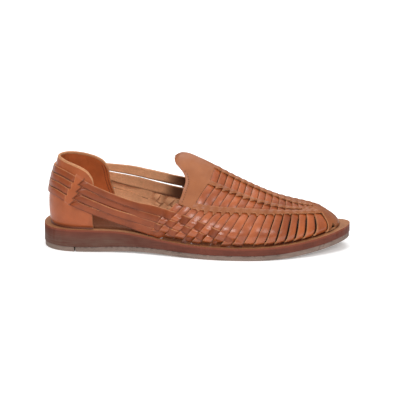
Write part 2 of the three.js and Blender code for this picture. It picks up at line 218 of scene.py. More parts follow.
# Heights of each strap at the heel's back, its bend, the slits, the collar's front, the side and the weave,
# then the run and the height at which it ends. On the outer side all go down to the sole. Past its end a
# strap's line falls by so many millimetres for each unit of run.
STRAP_RUNS = (0, 0.085, 0.14, 0.195, 0.262, 0.335)
END_FALL = 130
OUTER_STRAPS = (
    (74.4, 74.3, 68.6, 60.8, 52.3, 45.2, 0.64, 15.9),
    (67.4, 67.8, 61.9, 54.2, 45.8, 38.8, 0.575, 16),
    (61.0, 61.5, 54.4, 47.2, 38.7, 32.5, 0.51, 16),
    (54.8, 54.6, 47.0, 39.8, 32.0, 26.2, 0.44, 17),
)
INNER_STRAPS = (
    (74.4, 72.3, 69.6, 67.7, 65.9, 63.6, 0.545, 51),
    (67.4, 66.4, 63.8, 60.6, 56.6, 52.2, 0.50, 41.8),
    (61.0, 59.4, 56.4, 53.0, 48.8, 43.0, 0.62, 16),
    (54.8, 52.4, 49.0, 45.4, 41.2, 35.4, 0.52, 16),
)

STRAP_COUNT = len(OUTER_STRAPS)

# How far each strap bows up from a straight way through the weave on the outer side, in millimetres.
OUTER_BOW = (3.4, 2.6, 0.8, 0.0)

# Slits of the counter for each strap: run of the rear slit, then of the front slit at its top and bottom.
SLITS = ((0.134, 0.163, 0.146), (0.128, 0.160, 0.143), (0.119, 0.154, 0.136), (0.113, 0.145, 0.127))


def smooth(low, high, value):
    share = np.clip((np.asarray(value, float) - low) / (high - low), 0, 1)
    return share * share * (3 - 2 * share)


def blend(first, second, share):
    return first + (second - first) * share


def rounding(distance, end, cut):
    """The share of the width that is left at a distance from a rounded end."""
    radius, power = end
    share = np.clip(1 - distance / (radius - cut), 0, 1)
    return (1 - share**power) ** (1 / power)


def plan(angle, side, ledge):
    """A point of the sole's outline, set in by the ledges; the angle is 0 at the heel and pi at the toe."""
    heel, flank, toe = ledge
    span = LENGTH - heel - toe
    along = span * (1 - np.cos(angle)) / 2
    centre, half = OUTLINE(heel + along)
    ends = rounding(along, HEEL_ROUND, flank) * rounding(span - along, TOE_ROUND, toe / 2)
    return heel + along, centre + side * (half - flank) * ends


def feather_line(side):
    """Station and place across of one side's feather line, as functions of the run."""
    station, across = plan(np.linspace(0, math.pi, 721), side, FEATHER_LEDGE)
    run = np.concatenate([[0], np.cumsum(np.hypot(np.diff(station), np.diff(across)))])
    run /= run[-1]
    return lambda where: (np.interp(where, run, station), np.interp(where, run, across))


OUTER_FEATHER = feather_line(-1)
INNER_FEATHER = feather_line(1)


def feather(side, run):
    outer, inner = OUTER_FEATHER(run), INNER_FEATHER(run)
    return tuple(np.where(side < 0, a, b) for a, b in zip(outer, inner))


def folded(run, over):
    """Side, run and rise of a place; over is 0 at the outer feather line, 1 on the crest, 2 at the inner."""
    run, over = np.broadcast_arrays(np.asarray(run, float), np.asarray(over, float))
    side = np.where(over > 1, 1, -1) * np.where(run < 0, -1, 1) * np.where(run > 1, -1, 1)
    run = np.abs(run)
    run = np.where(run > 1, 2 - run, run)
    rise = np.clip(np.where(over > 1, 2 - over, over), 0, 1)
    return side, run, rise


def last_point(run, over):
    """A point of the last in millimetres, its station measured from the middle of the sole."""
    side, run, rise = folded(run, over)
    base_station, base_across = feather(side, run)
    station, height, centre, wall, dome, bulge = SECTIONS(run)
    floor = LEVELS(base_station)[1] + SEAT
    inward = 1 - np.maximum(0, np.cos(rise * math.pi / 2)) ** (2 / wall)
    up = np.sin(rise * math.pi / 2) ** (2 / dome)
    out = bulge * np.sin(np.minimum(up / BULGE_SHARE, 2) * math.pi / 2)
    along, across = station - base_station, centre - base_across
    share = inward - out / np.hypot(along, across)
    return np.stack(
        [
            base_station + along * share - LENGTH / 2,
            base_across + across * share,
            floor + (height - floor) * up,
        ],
        -1,
    )


def unit(vectors):
    return vectors / np.maximum(np.linalg.norm(vectors, axis=-1, keepdims=True), 1e-9)


# The direction off the nose's crest, where the sections meet in a point, and the runs and rises over
# which it takes hold; the runs over which the direction turns into the middle plane at the toe tip.
NOSE_UP = np.array([0.4, 0.0, 0.92])
NOSE_RUNS, NOSE_RISES, TIP_RUNS = (0.86, 0.93), (0.78, 0.92), (0.95, 0.985)


def outward(run, over):
    """The direction off the leather; at the toe tip, where both sides meet, it keeps to the middle plane."""
    step_run, step_over = 0.002, 0.008
    along = last_point(run + step_run, over) - last_point(run - step_run, over)
    up = last_point(run, over + step_over) - last_point(run, np.abs(over - step_over))
    normal = unit(np.cross(along, up))
    normal[..., 1] *= 1 - smooth(*TIP_RUNS, run)
    nose = smooth(*NOSE_RUNS, run) * smooth(*NOSE_RISES, folded(run, over)[2])
    return unit(blend(normal, NOSE_UP, nose[..., None]))


def on_leather(run, over, offset):
    """A point that stands off the last by some millimetres."""
    return last_point(run, over) + outward(run, over) * np.asarray(offset)[..., None]


def rise_at(side, run, height):
    """The rise at which the last reaches a height."""
    top, dome = SECTIONS(run)[1], SECTIONS(run)[4]
    floor = LEVELS(feather(side, run)[0])[1] + SEAT
    up = np.clip((height - floor) / (top - floor), 0, 1)
    return np.arcsin(up ** (dome / 2)) * 2 / math.pi


def lean(start, rise):
    """How far ahead of its start a strip's line stands at some rise."""
    dies = np.clip((1 - start) / LEAN_DIES, 0, 1)
    foot = np.clip(1 - np.asarray(rise) / FOOT_RISE, 0, 1) ** FOOT_CURVE
    return LEAN_START * dies + LEAN_SHARE(start)[0] * LEAN(rise)[0] + FOOT_LEAN(start)[0] * foot


def line_run(start, rise):
    """The run of a strip's leaning line at some rise."""
    return start + lean(start, rise)


def strip_number(run, rise):
    """Which strip lies at a place of the last: line_run turned round."""
    start = np.asarray(run, float)
    for _ in range(8):
        start = run - lean(start, rise)
    numbers = np.arange(-WEAVE_COUNT, STRIP_COUNT + 1)
    return np.interp(start, STRIPS(numbers)[0], numbers)


def strap_height(row, side, run):
    """The height of a strap's middle; past its end it goes on down."""
    levels = []
    for heights, bow in ((OUTER_STRAPS[row], OUTER_BOW[row]), (INNER_STRAPS[row], 0)):
        *stops, end, land = heights
        curve = table(*zip(STRAP_RUNS, stops), (end, land))
        way = np.clip((run - STRAP_RUNS[-1]) / (end - STRAP_RUNS[-1]), 0, 1)
        levels.append(curve(run)[0] + bow * np.sin(math.pi * way) - np.maximum(0, run - end) * END_FALL)
    return np.where(np.asarray(side) < 0, *levels)


class Leatherwork:
    """Patches of leather gathered in one mesh, each a flat grid laid on the last.
    The attribute lay holds the way along in millimetres, the place across from -1 to 1, and the tone."""

    def __init__(self):
        self.mesh = bmesh.new()
        self.lay = self.mesh.verts.layers.float_vector.new("lay")

    def patch(self, columns, rows, place, keep=None, tone=0.5):
        """place(u, v) gives the points, the way along and the place across; keep(u, v) picks the cells.
        The tone is a number or a function of u and v."""
        grid = bmesh.ops.create_grid(self.mesh, x_segments=columns, y_segments=rows, size=0.5)
        verts = grid["verts"]
        if keep is not None:
            faces = list({face for vert in verts for face in vert.link_faces})
            middle = np.array([face.calc_center_median()[:2] for face in faces]) + 0.5
            kept = keep(middle[:, 0], middle[:, 1])
            dropped = [face for face, stays in zip(faces, kept) if not stays]
            bmesh.ops.delete(self.mesh, geom=dropped, context="FACES")
            verts = [vert for vert in verts if vert.is_valid]
        flat = np.array([vert.co[:2] for vert in verts]) + 0.5
        points, along, across = place(flat[:, 0], flat[:, 1])
        dye = tone(flat[:, 0], flat[:, 1]) if callable(tone) else tone
        along, across, dye = (np.broadcast_to(value, len(verts)) for value in (along, across, dye))
        for vert, point, *lay in zip(verts, points, along, across, dye):
            vert.co = Vector(point) * MM
            vert[self.lay] = lay

    def piece(self, name, thickness, finishes, edge=0.4):
        """Gives the sheets their thickness and rounded cut edges; finishes are face, back and cut edge."""
        bmesh.ops.remove_doubles(self.mesh, verts=self.mesh.verts, dist=0.01 * MM)
        made = as_piece(self.mesh, name, finishes)
        wall = made.modifiers.new("Thickness", "SOLIDIFY")
        wall.thickness = thickness * MM
        wall.offset = -1
        wall.material_offset = 1
        wall.material_offset_rim = 2
        cut = made.modifiers.new("Cut edges", "BEVEL")
        cut.width = edge * MM
        cut.segments = 2
        cut.limit_method = "ANGLE"
        cut.angle_limit = SHARP
        cut.harden_normals = True
        return made


def as_piece(mesh, name, finishes):
    """Turns a bmesh into an object that sits at the origin and rides with the shoe."""
    for face in mesh.faces:
        face.smooth = True
    data = bpy.data.meshes.new(name)
    mesh.to_mesh(data)
    mesh.free()
    for finish in finishes:
        data.materials.append(finish)
    made = bpy.data.objects.new(name, data)
    bpy.context.scene.collection.objects.link(made)
    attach(made, "root")
    return made


def stands_for(made, slot, *nodes):
    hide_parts(*nodes)


# Colours and finishes


def linear(code):
    """An sRGB hex colour as linear light."""
    parts = [int(code[i : i + 2], 16) / 255 for i in (1, 3, 5)]
    return tuple(c / 12.92 if c <= 0.04045 else ((c + 0.055) / 1.055) ** 2.4 for c in parts)


def per_metre(size):
    """The pattern scale that gives features of a size in millimetres."""
    return 1000 / size


def add(tree, kind, inputs=(), **settings):
    """Adds a shader node and gives its outputs; each input takes a value or the output that feeds it."""
    made = tree.nodes.new("ShaderNode" + kind)
    for name, value in settings.items():
        setattr(made, name, value)
    for socket, value in dict(inputs).items():
        if isinstance(value, bpy.types.NodeSocket):
            tree.links.new(value, made.inputs[socket])
        else:
            made.inputs[socket].default_value = value
    return made.outputs


def rgba(colour):
    return (*colour[:3], 1.0)


def darker(colour, share):
    return tuple(part * share for part in colour)


def new_finish(name):
    finish = bpy.data.materials.new(name)
    finish.use_nodes = True
    finish.node_tree.nodes.clear()
    return finish, finish.node_tree


def places(tree):
    """The shoe's own coordinates, the attribute lay, and its three parts."""
    place = add(tree, "TexCoord")["Object"]
    lay = add(tree, "Attribute", attribute_name="lay")["Vector"]
    return place, lay, add(tree, "SeparateXYZ", {"Vector": lay})


# Sockets of a node that mixes two colours.
FACTOR, FIRST, SECOND, RESULT = 0, 6, 7, 2

# Sizes of the patterns in millimetres: clouds of dye, rubbed spots, clouds on the flesh side and in the
# sole's stain, and the length and width of the sole's grinding marks.
DYE_CLOUD, RUBBED_SPOT, FLESH_CLOUD, STAIN_CLOUD = 16, 5, 9, 18
GRIND_LENGTH, GRIND_WIDTH = 16.7, 0.714

# Creases per millimetre along the leather and per half width across, and how far the tone shifts them.
CREASES = (0.55, 0.7, 3.0)


def tanned_leather(
    name, colour, shade, worn, roughness, grain, bump=0.5, coat=0.1, wear=0.7, light_edge=0, wax=0.7, foot=0
):
    """Vegetable-tanned leather given a waxy finish by hand: uneven dye, fine pores, cross creases, edges
    rubbed lighter.
    With a lit edge of 1 or -1 across, only the edge towards the light is rubbed lighter, partly as a painted
    highlight, and a painted shadow darkens the other edge. A foot is the length in millimetres over which
    painted shade darkens the end at the sole."""
    finish, tree = new_finish(name)
    place, lay, parts = places(tree)
    clouds = add(tree, "TexNoise", {"Vector": place, "Scale": per_metre(DYE_CLOUD), "Detail": 4.0})
    dye = add(tree, "Math", {0: clouds["Fac"], 1: parts["Z"]}, operation="ADD")
    even = add(tree, "MapRange", {"Value": dye[0], "From Min": 0.65, "From Max": 1.25})
    body = add(tree, "Mix", {FACTOR: even[0], FIRST: rgba(shade), SECOND: rgba(colour)}, data_type="RGBA")
    # Edges rubbed lighter; with a lit edge, only the edge towards the light is rubbed, partly a painted
    # highlight.
    one_edge_or_both = "MULTIPLY" if light_edge else "ABSOLUTE"
    edge = add(tree, "Math", {0: parts["Y"], 1: float(light_edge)}, operation=one_edge_or_both)
    rubbed = add(tree, "TexNoise", {"Vector": place, "Scale": per_metre(RUBBED_SPOT), "Detail": 3.0})
    near = add(tree, "MapRange", {"Value": edge[0], "From Min": 0.72, "From Max": 1.0, "To Max": wear})
    rubbing = add(tree, "Math", {0: near[0], 1: rubbed["Fac"]}, operation="MULTIPLY")
    face = add(tree, "Mix", {FACTOR: rubbing[0], FIRST: body[RESULT], SECOND: rgba(worn)}, data_type="RGBA")
    # Painted shadow along the edge away from the light, and painted shade over the foot at the sole.
    painted_shadow = rgba(darker(shade, 0.35))
    dark_parts = []
    if light_edge:
        dark_parts.append({"Value": edge[0], "From Min": -0.65, "From Max": -0.95, "To Max": wax})
    if foot:
        dark_parts.append({"Value": parts["X"], "From Min": foot, "From Max": 0.0, "To Max": 0.9})
    for dark_part in dark_parts:
        shadowed = add(tree, "MapRange", dark_part)
        face = add(tree, "Mix", {FACTOR: shadowed[0], FIRST: face[RESULT], SECOND: painted_shadow}, data_type="RGBA")
    pores = add(tree, "TexVoronoi", {"Vector": place, "Scale": per_metre(grain)}, feature="SMOOTH_F1")
    bend = add(tree, "Mapping", {"Vector": lay, "Scale": CREASES})
    creases = add(tree, "TexNoise", {"Vector": bend[0], "Scale": 1.0, "Detail": 4.0})
    fine = add(tree, "Bump", {"Height": pores["Distance"], "Strength": bump * 0.5, "Distance": 0.25 * MM})
    rough = add(
        tree,
        "Bump",
        {"Height": creases["Fac"], "Strength": bump, "Distance": 0.5 * MM, "Normal": fine[0]},
    )
    gloss = add(
        tree,
        "MapRange",
        {
            "Value": rubbed["Fac"],
            "From Min": 0.3,
            "From Max": 0.7,
            "To Min": roughness + 0.1,
            "To Max": roughness - 0.06,
        },
    )
    shader = add(
        tree,
        "BsdfPrincipled",
        {
            "Base Color": face[RESULT],
            "Roughness": gloss[0],
            "Normal": rough[0],
            "IOR": 1.47,
            "Specular IOR Level": 0.3,
            "Coat Weight": coat,
            "Coat Roughness": 0.23,
        },
    )
    add(tree, "OutputMaterial", {"Surface": shader["BSDF"]})
    return finish


# Colour of the painted shade that the flesh side takes on where its tone falls below 0.3.
PAINTED_SHADE = "#4A2413"


def raw_leather(name, colour, shade, fibre, roughness=0.85, soiled=1):
    """The flesh side and the cut edges: matt, fibrous, paler than the dyed face.
    The last argument is how much of the leather's own colour is left where the tone is lowest; the rest is
    painted shade."""
    finish, tree = new_finish(name)
    place, _, parts = places(tree)
    unshaded = add(tree, "MapRange", {"Value": parts["Z"], "From Max": 0.3, "To Min": soiled})
    clouds = add(tree, "TexNoise", {"Vector": place, "Scale": per_metre(FLESH_CLOUD), "Detail": 3.0})
    nap = add(tree, "TexNoise", {"Vector": place, "Scale": per_metre(fibre), "Detail": 5.0})
    both = add(tree, "Math", {0: clouds["Fac"], 1: nap["Fac"]}, operation="MULTIPLY")
    even = add(tree, "MapRange", {"Value": both[0], "From Min": 0.12, "From Max": 0.4})
    body = add(tree, "Mix", {FACTOR: even[0], FIRST: rgba(shade), SECOND: rgba(colour)}, data_type="RGBA")
    # Painted shade where the tone is low.
    soil = rgba(linear(PAINTED_SHADE))
    shaded_flesh = add(tree, "Mix", {FACTOR: unshaded[0], FIRST: soil, SECOND: body[RESULT]}, data_type="RGBA")
    fuzz = add(tree, "Bump", {"Height": nap["Fac"], "Strength": 0.5, "Distance": 0.3 * MM})
    shader = add(
        tree,
        "BsdfPrincipled",
        {
            "Base Color": shaded_flesh[RESULT],
            "Roughness": roughness,
            "Specular IOR Level": 0.25,
            "Normal": fuzz[0],
        },
    )
    add(tree, "OutputMaterial", {"Surface": shader["BSDF"]})
    return finish


def sole_rubber(name, colour, foot, shade, rim, rim_depth, roughness):
    """Crepe and rubber sheet, ground and stained: scuffs, stain worn grey at the foot, a rim of its own."""
    finish, tree = new_finish(name)
    place, _, parts = places(tree)
    clouds = add(tree, "TexNoise", {"Vector": place, "Scale": per_metre(STAIN_CLOUD), "Detail": 4.0})
    grinding = tuple(per_metre(size) for size in (GRIND_LENGTH, GRIND_LENGTH, GRIND_WIDTH))
    drawn = add(tree, "Mapping", {"Vector": place, "Scale": grinding})
    lines = add(tree, "TexNoise", {"Vector": drawn[0], "Scale": 1.0, "Detail": 3.0})
    both = add(tree, "Math", {0: clouds["Fac"], 1: lines["Fac"]}, operation="ADD")
    even = add(tree, "MapRange", {"Value": both[0], "From Min": 0.7, "From Max": 1.3})
    faded = add(tree, "MapRange", {"Value": parts["Y"], "From Min": 14.0, "From Max": 6.0})
    greyed = add(tree, "Math", {0: faded[0], 1: parts["Z"]}, operation="MULTIPLY")
    stain = add(tree, "Mix", {FACTOR: greyed[0], FIRST: rgba(colour), SECOND: rgba(foot)}, data_type="RGBA")
    body = add(tree, "Mix", {FACTOR: even[0], FIRST: rgba(shade), SECOND: stain[RESULT]}, data_type="RGBA")
    near = add(tree, "MapRange", {"Value": parts["X"], "From Min": rim_depth, "From Max": rim_depth * 0.55})
    face = add(tree, "Mix", {FACTOR: near[0], FIRST: body[RESULT], SECOND: rgba(rim)}, data_type="RGBA")
    ground = add(tree, "Bump", {"Height": both[0], "Strength": 0.35, "Distance": 0.3 * MM})
    shader = add(
        tree,
        "BsdfPrincipled",
        {
            "Base Color": face[RESULT],
            "Roughness": roughness,
            "Specular IOR Level": 0.25,
            "Normal": ground[0],
        },
    )
    add(tree, "OutputMaterial", {"Surface": shader["BSDF"]})
    return finish


def size_property(name, description, size):
    return FloatProperty(name=name, description=description, default=size * MM, unit="LENGTH")


class SandalSizes(bpy.types.PropertyGroup):
    strip_thickness: size_property("Strip thickness", "Thickness of the crosswise strips", 1.4)
    strip_gap: size_property("Strip gap", "Open width between neighbouring strips at the instep", 0.5)
    weave_depth: size_property("Weave depth", "How far a strip rises and dips where it crosses a strap", 1.5)
    odd_strap: size_property("First and third strap", "Width of these straps along the outer side", 7.1)
    even_strap: size_property("Second and fourth strap", "Width of these straps along the outer side", 7.4)
    strap_thickness: size_property("Strap thickness", "Thickness of the side straps", 1.8)
    panel_thickness: size_property("Panel thickness", "Thickness of the throat panel and its bands", 1.5)
    counter_thickness: size_property("Counter", "Thickness of the heel counter with its lining", 2.4)
    sheet_thickness: size_property("Pale sheet", "Thickness of the pale outsole", 4.6)
    sock_thickness: size_property("Sock thickness", "Thickness of the insole sock", 2.2)


def colour_property(name, description, code):
    light = linear(code)
    limits = {"min": 0, "max": 1}
    return FloatVectorProperty(name=name, description=description, default=light, subtype="COLOR", **limits)


class SandalColours(bpy.types.PropertyGroup):
    strip: colour_property("Strips", "Dyed face of the strips", "#B25D30")
    strip_shade: colour_property("Strip shade", "Darkest dye of the strips", "#7C3A1E")
    strap: colour_property("Straps", "Dyed face of the side straps", "#8D431E")
    strap_shade: colour_property("Strap shade", "Darkest dye of the side straps", "#652C13")
    panel: colour_property("Panel", "Throat panel and bands", "#A06038")
    panel_shade: colour_property("Panel shade", "Darkest dye of the panel", "#874A27")
    counter: colour_property("Counter", "Heel counter", "#A95830")
    counter_shade: colour_property("Counter shade", "Darkest dye of the counter", "#8A4522")
    lining: colour_property("Lining", "Smooth lining of the counter", "#CC6C3A")
    flesh: colour_property("Flesh side", "Undyed back of the straps", "#F4B587")
    underlay: colour_property("Underlay", "Brown leather under the strips", "#7A482C")
    cut: colour_property("Cut edge", "Cut edges of the leather", "#CC8F64")
    # Rubbed edges are real wear; on strips and straps the lit edge is rubbed towards this colour too, partly
    # a painted highlight.
    worn: colour_property("Worn edge", "Rubbed edges of the dyed face", "#CE8D5E")
    wedge: colour_property("Wedge", "Brown stain of the wedge", "#6E3829")
    wedge_foot: colour_property("Wedge foot", "Worn stain along the foot of the wedge", "#664C40")
    wedge_rim: colour_property("Wedge rim", "Rounded rim on top of the wedge", "#7C3E2B")
    ledge: colour_property("Ledge", "Top of the wedge outside the upper", "#AC744E")
    pale: colour_property("Pale sheet", "Pale outsole", "#917C71")
    sock: colour_property("Sock", "Insole sock", "#6E4026")
    thread: colour_property("Thread", "Stitching thread", "#5C3420")


def sizes():
    return bpy.context.scene.sandal_sizes


def colours():
    return bpy.context.scene.sandal_colours


def mm(value):
    return value / MM


def shared(make, name, *values, **settings):
    """A finish that several pieces wear, made for the first of them."""
    return bpy.data.materials.get(name) or make(name, *values, **settings)


def flesh_side():
    flesh = colours().flesh
    # Where the tone is lowest, painted shade leaves only a tenth of the flesh colour.
    return shared(raw_leather, "flesh_side_leather", flesh, darker(flesh, 0.78), 1.4, soiled=0.1)


def brown_flesh():
    brown = colours().underlay
    return shared(raw_leather, "dyed_flesh_side_leather", brown, darker(brown, 0.55), 1.4)


def cut_edge():
    cut = colours().cut
    return shared(raw_leather, "cut_edge_leather", cut, darker(cut, 0.65), 0.9, 0.7)


def waxed_strips():
    c = colours()
    dyes = c.strip, c.strip_shade, c.worn
    # Each strip's rear edge is rubbed lighter, partly a painted highlight; a painted shadow darkens its front
    # edge, and painted shade its foot at the sole.
    wax = {"coat": 0.55, "wear": 0.6, "light_edge": -1, "wax": 0.4, "foot": 6}
    return shared(tanned_leather, "waxed_strip_leather", *dyes, 0.34, 1.3, **wax)


def waxed_straps():
    c = colours()
    dyes = c.strap, c.strap_shade, c.worn
    # Each strap's upper edge is rubbed lighter, partly a painted highlight, and a painted shadow darkens its
    # lower edge.
    return shared(tanned_leather, "waxed_strap_leather", *dyes, 0.4, 1.3, coat=0.2, wear=1.1, light_edge=1)


# Soles

# Columns and rows of a layer's grid, distance within which its points are merged at heel and toe, upward
# part of a top face's normal, and stations over which the stain's greyness dies out.
SOLE_GRID, SOLE_MERGE, TOP_FACE = (150, 14), 0.05, 0.8
GREY_STATIONS = (60, 140)

# In millimetres: radii of a layer's lower and upper rim, how far it is set in, depth of its stained rim.
WEDGE_RIMS, WEDGE_STAIN = (0.5, 2.0), 2.4
SHEET_RIMS, SHEET_INSET, SHEET_STAIN = (0.9, 0.2), 0.6, 0.1
SOCK_RIMS, SOCK_INSET = (0.2, 0.7), 3.1

# The slanted joint of the pale sheets: stations at which one ends and the other starts, and the slant.
HEEL_SHEET_END, OUTSOLE_START = 32.0, 33.2
JOINT_SLANT = Vector((1, 0, 0.1)).normalized()


def sole_layer(name, ledge, low, high, finishes, rims, joint=None):
    """A layer of the sole between two levels, its rims rounded; joint cuts it and keeps one side."""
    mesh = bmesh.new()
    lay = mesh.verts.layers.float_vector.new("lay")
    columns, rows = SOLE_GRID
    grid = bmesh.ops.create_grid(mesh, x_segments=columns, y_segments=rows, size=0.5)
    for vert in grid["verts"]:
        angle, share = (vert.co.x + 0.5) * math.pi, vert.co.y + 0.5
        station, outer = plan(angle, -1, ledge)
        inner = plan(angle, 1, ledge)[1]
        vert.co = Vector((station - LENGTH / 2, blend(outer, inner, share), low(station))) * MM
    bmesh.ops.remove_doubles(mesh, verts=mesh.verts, dist=SOLE_MERGE * MM)
    raised = bmesh.ops.extrude_face_region(mesh, geom=mesh.faces[:], use_keep_orig=True)
    top = [item for item in raised["geom"] if isinstance(item, bmesh.types.BMVert)]
    for vert in top:
        vert.co.z = float(high(mm(vert.co.x) + LENGTH / 2)) * MM
    bmesh.ops.recalc_face_normals(mesh, faces=mesh.faces)
    if joint is not None:
        station, normal = joint
        cut = bmesh.ops.bisect_plane(
            mesh,
            geom=mesh.verts[:] + mesh.edges[:] + mesh.faces[:],
            plane_co=Vector((station - LENGTH / 2, 0, 0)) * MM,
            plane_no=normal,
            clear_outer=True,
        )
        open_edges = [item for item in cut["geom_cut"] if isinstance(item, bmesh.types.BMEdge)]
        bmesh.ops.holes_fill(mesh, edges=open_edges, sides=0)
        bmesh.ops.recalc_face_normals(mesh, faces=mesh.faces)
    top_set = {vert for vert in top if vert.is_valid}
    for is_top, radius in zip((False, True), rims):
        rim = [
            edge
            for edge in mesh.edges
            if edge.is_manifold
            and edge.calc_face_angle(0) > SHARP
            and all((vert in top_set) == is_top for vert in edge.verts)
        ]
        bmesh.ops.bevel(
            mesh,
            geom=rim,
            offset=radius * MM,
            offset_type="OFFSET",
            segments=4,
            profile=0.5,
            affect="EDGES",
            material=-1,
            clamp_overlap=True,
        )
    for vert in mesh.verts:
        station = mm(vert.co.x) + LENGTH / 2
        below = float(high(station)) - mm(vert.co.z)
        above = mm(vert.co.z) - float(low(station))
        vert[lay] = (below, above, 1 - float(smooth(*GREY_STATIONS, station)))
    for face in mesh.faces:
        face.material_index = int(len(finishes) > 1 and face.normal.z > TOP_FACE)
    made = as_piece(mesh, name, finishes)
    made.modifiers.new("Smooth rims", "WEIGHTED_NORMAL").keep_sharp = True
    return made


def underside(station):
    return np.maximum(0, LEVELS(station)[0])


def wedge_top(station):
    return LEVELS(station)[1]


class SANDAL_OT_wedge(bpy.types.Operator):
    """Brown wedge with its leather rim"""

    bl_idname = "sandal.wedge"
    bl_label = "Wedge"

    def execute(self, context):
        c = colours()
        sheet = mm(sizes().sheet_thickness) + SEAT
        dyes = c.wedge, c.wedge_foot, darker(c.wedge, 0.6), c.wedge_rim
        side = sole_rubber("stained_wedge_rubber", *dyes, WEDGE_STAIN, 0.6)
        ledge = raw_leather("rim_leather", c.ledge, darker(c.ledge, 0.6), 1.2, 0.6)
        made = sole_layer(
            "wedge",
            (0, 0, 0),
            lambda station: underside(station) + sheet,
            wedge_top,
            [side, ledge],
            WEDGE_RIMS,
        )
        stands_for(made, "brown_midsole", "midsole")
        return {"FINISHED"}


class SANDAL_OT_pale_sheets(bpy.types.Operator):
    """Pale outsole and heel sheet, butted with a slanted joint"""

    bl_idname = "sandal.pale_sheets"
    bl_label = "Pale sheets"

    def execute(self, context):
        c = colours()
        thick = mm(sizes().sheet_thickness)
        dyes = c.pale, c.pale, darker(c.pale, 0.62), c.pale
        finish = sole_rubber("pale_sheet_rubber", *dyes, SHEET_STAIN, 0.75)
        for name, node, end, way in (
            ("pale_heel_sheet", "heel_sheet", HEEL_SHEET_END, 1),
            ("pale_outsole", "outsole", OUTSOLE_START, -1),
        ):
            made = sole_layer(
                name,
                (SHEET_INSET,) * 3,
                underside,
                lambda station: underside(station) + thick,
                [finish],
                SHEET_RIMS,
                joint=(end, JOINT_SLANT * way),
            )
            stands_for(made, "pale_outsole", node)
        return {"FINISHED"}


class SANDAL_OT_sock(bpy.types.Operator):
    """Leather sock that lies on the wedge"""

    bl_idname = "sandal.sock"
    bl_label = "Sock"

    def execute(self, context):
        c = colours()
        thick = mm(sizes().sock_thickness)
        face = tanned_leather("sock_leather", c.sock, darker(c.sock, 0.6), c.sock, 0.55, 1.1)
        made = sole_layer(
            "leather_sock",
            tuple(ledge + SOCK_INSET for ledge in FEATHER_LEDGE),
            lambda station: wedge_top(station) + SEAT,
            lambda station: wedge_top(station) + SEAT + thick,
            [face],
            SOCK_RIMS,
        )
        stands_for(made, "sock_leather", "insole")
        return {"FINISHED"}


# Woven upper

# The first strap that is woven on the inner side.
INNER_WOVEN = 2

# How far leather turns in at the sole, in millimetres, and the rise over which it does so.
TUCK_DEPTH, TUCK_RISE = 1.8, 0.07

# The least distance between two straps' middles, in millimetres.
LEAST_PITCH = 2

# How flat the weave's waves are, rows from the first woven strap where they begin, rows where they end.
WAVE_POWER, WAVE_BEGINS, WAVE_ENDS = 0.95, (-0.65, -0.3), (2.6, 3.4)

# How deep the bands hold a strip in millimetres, its swell below, between and above them, its roundness.
HELD_DOWN, SWELLS, SWELL_POWER = 0.35, (0.8, 0.5, 0.4), 0.7


def tucked(rise, depth=TUCK_DEPTH, reach=TUCK_RISE):
    """How far the leather turns in at the sole."""
    return -depth * (1 - smooth(0, reach, rise))


def strap_row(side, run, height):
    """Which strap lies at a height: 0 on the first strap's middle, 3 on the last one's."""
    levels = [strap_height(number, side, run) for number in range(STRAP_COUNT)]
    row = (levels[0] - height) / np.maximum(levels[0] - levels[1], LEAST_PITCH)
    for number in range(1, STRAP_COUNT):
        pair = min(number, STRAP_COUNT - 2)
        pitch = np.maximum(levels[pair] - levels[pair + 1], LEAST_PITCH)
        row = np.where(height < levels[number], number + (levels[number] - height) / pitch, row)
    return row


def flat_wave(phase):
    """A wave with flat tops, up at even and down at odd numbers."""
    wave = np.cos(math.pi * phase)
    return np.sign(wave) * np.abs(wave) ** WAVE_POWER


def weave_lift(sign, side, run, height):
    """Over and under the straps: a wave that dies out above the first strap."""
    row = strap_row(side, run, height)
    first = np.where(np.asarray(side) < 0, 0, INNER_WOVEN)
    begin, full = WAVE_BEGINS
    lives = smooth(first + begin, first + full, row) * (1 - smooth(*WAVE_ENDS, row))
    return sign * flat_wave(row) * lives


def band_bulge(start, rise):
    """A strip swells between the bands that hold it down."""
    low, low_half, high, high_half, spine = BANDS(start)
    bottoms = (0 * low, low + low_half, high + high_half)
    tops = (low - low_half, high - high_half, 1 - spine)
    lift = np.full(np.shape(rise), -HELD_DOWN)
    for bottom, top, swell in zip(bottoms, tops, SWELLS):
        share = np.clip((rise - bottom) / np.maximum(top - bottom, 0.01), 0, 1)
        lift = lift + (swell + HELD_DOWN) * np.sin(math.pi * share) ** SWELL_POWER
    return lift


# How much closer a strip's rows of points stand at its feet, where it is woven, than at the crest.
FINE_FEET = 0.45
STRIP_GRID, WEAVE_GRID = (8, 110), (8, 44)

# A strip's crown in millimetres, the depth of its edges, its tilt over the next strip, how much that differs
# by chance and grows towards the toe, and how much a millimetre of weave takes from the swell.
STRIP_CROWN, STRIP_DEPTH = 0.2, 0.15
STRIP_TILT, TILT_CHANCE, TOE_TILT, WEAVE_FLATTENS = 0.42, 0.12, 0.3, 0.6
STRIP_TONES, WEAVE_TONES = (0.42, 0.64), (0.35, 0.65)

# Strips over which the tilt grows and the gaps open, by how many millimetres, and between which rises.
TILTED_STRIPS, OPENING_STRIPS, GAP_OPENS = (7, 11), (8, 12), 0.8
GAP_BEGINS, GAP_ENDS = (0.0, 0.12), (0.42, 0.6)


def strip_edges(number):
    return (float(STRIPS(edge)[0]) for edge in (number, number + 1))


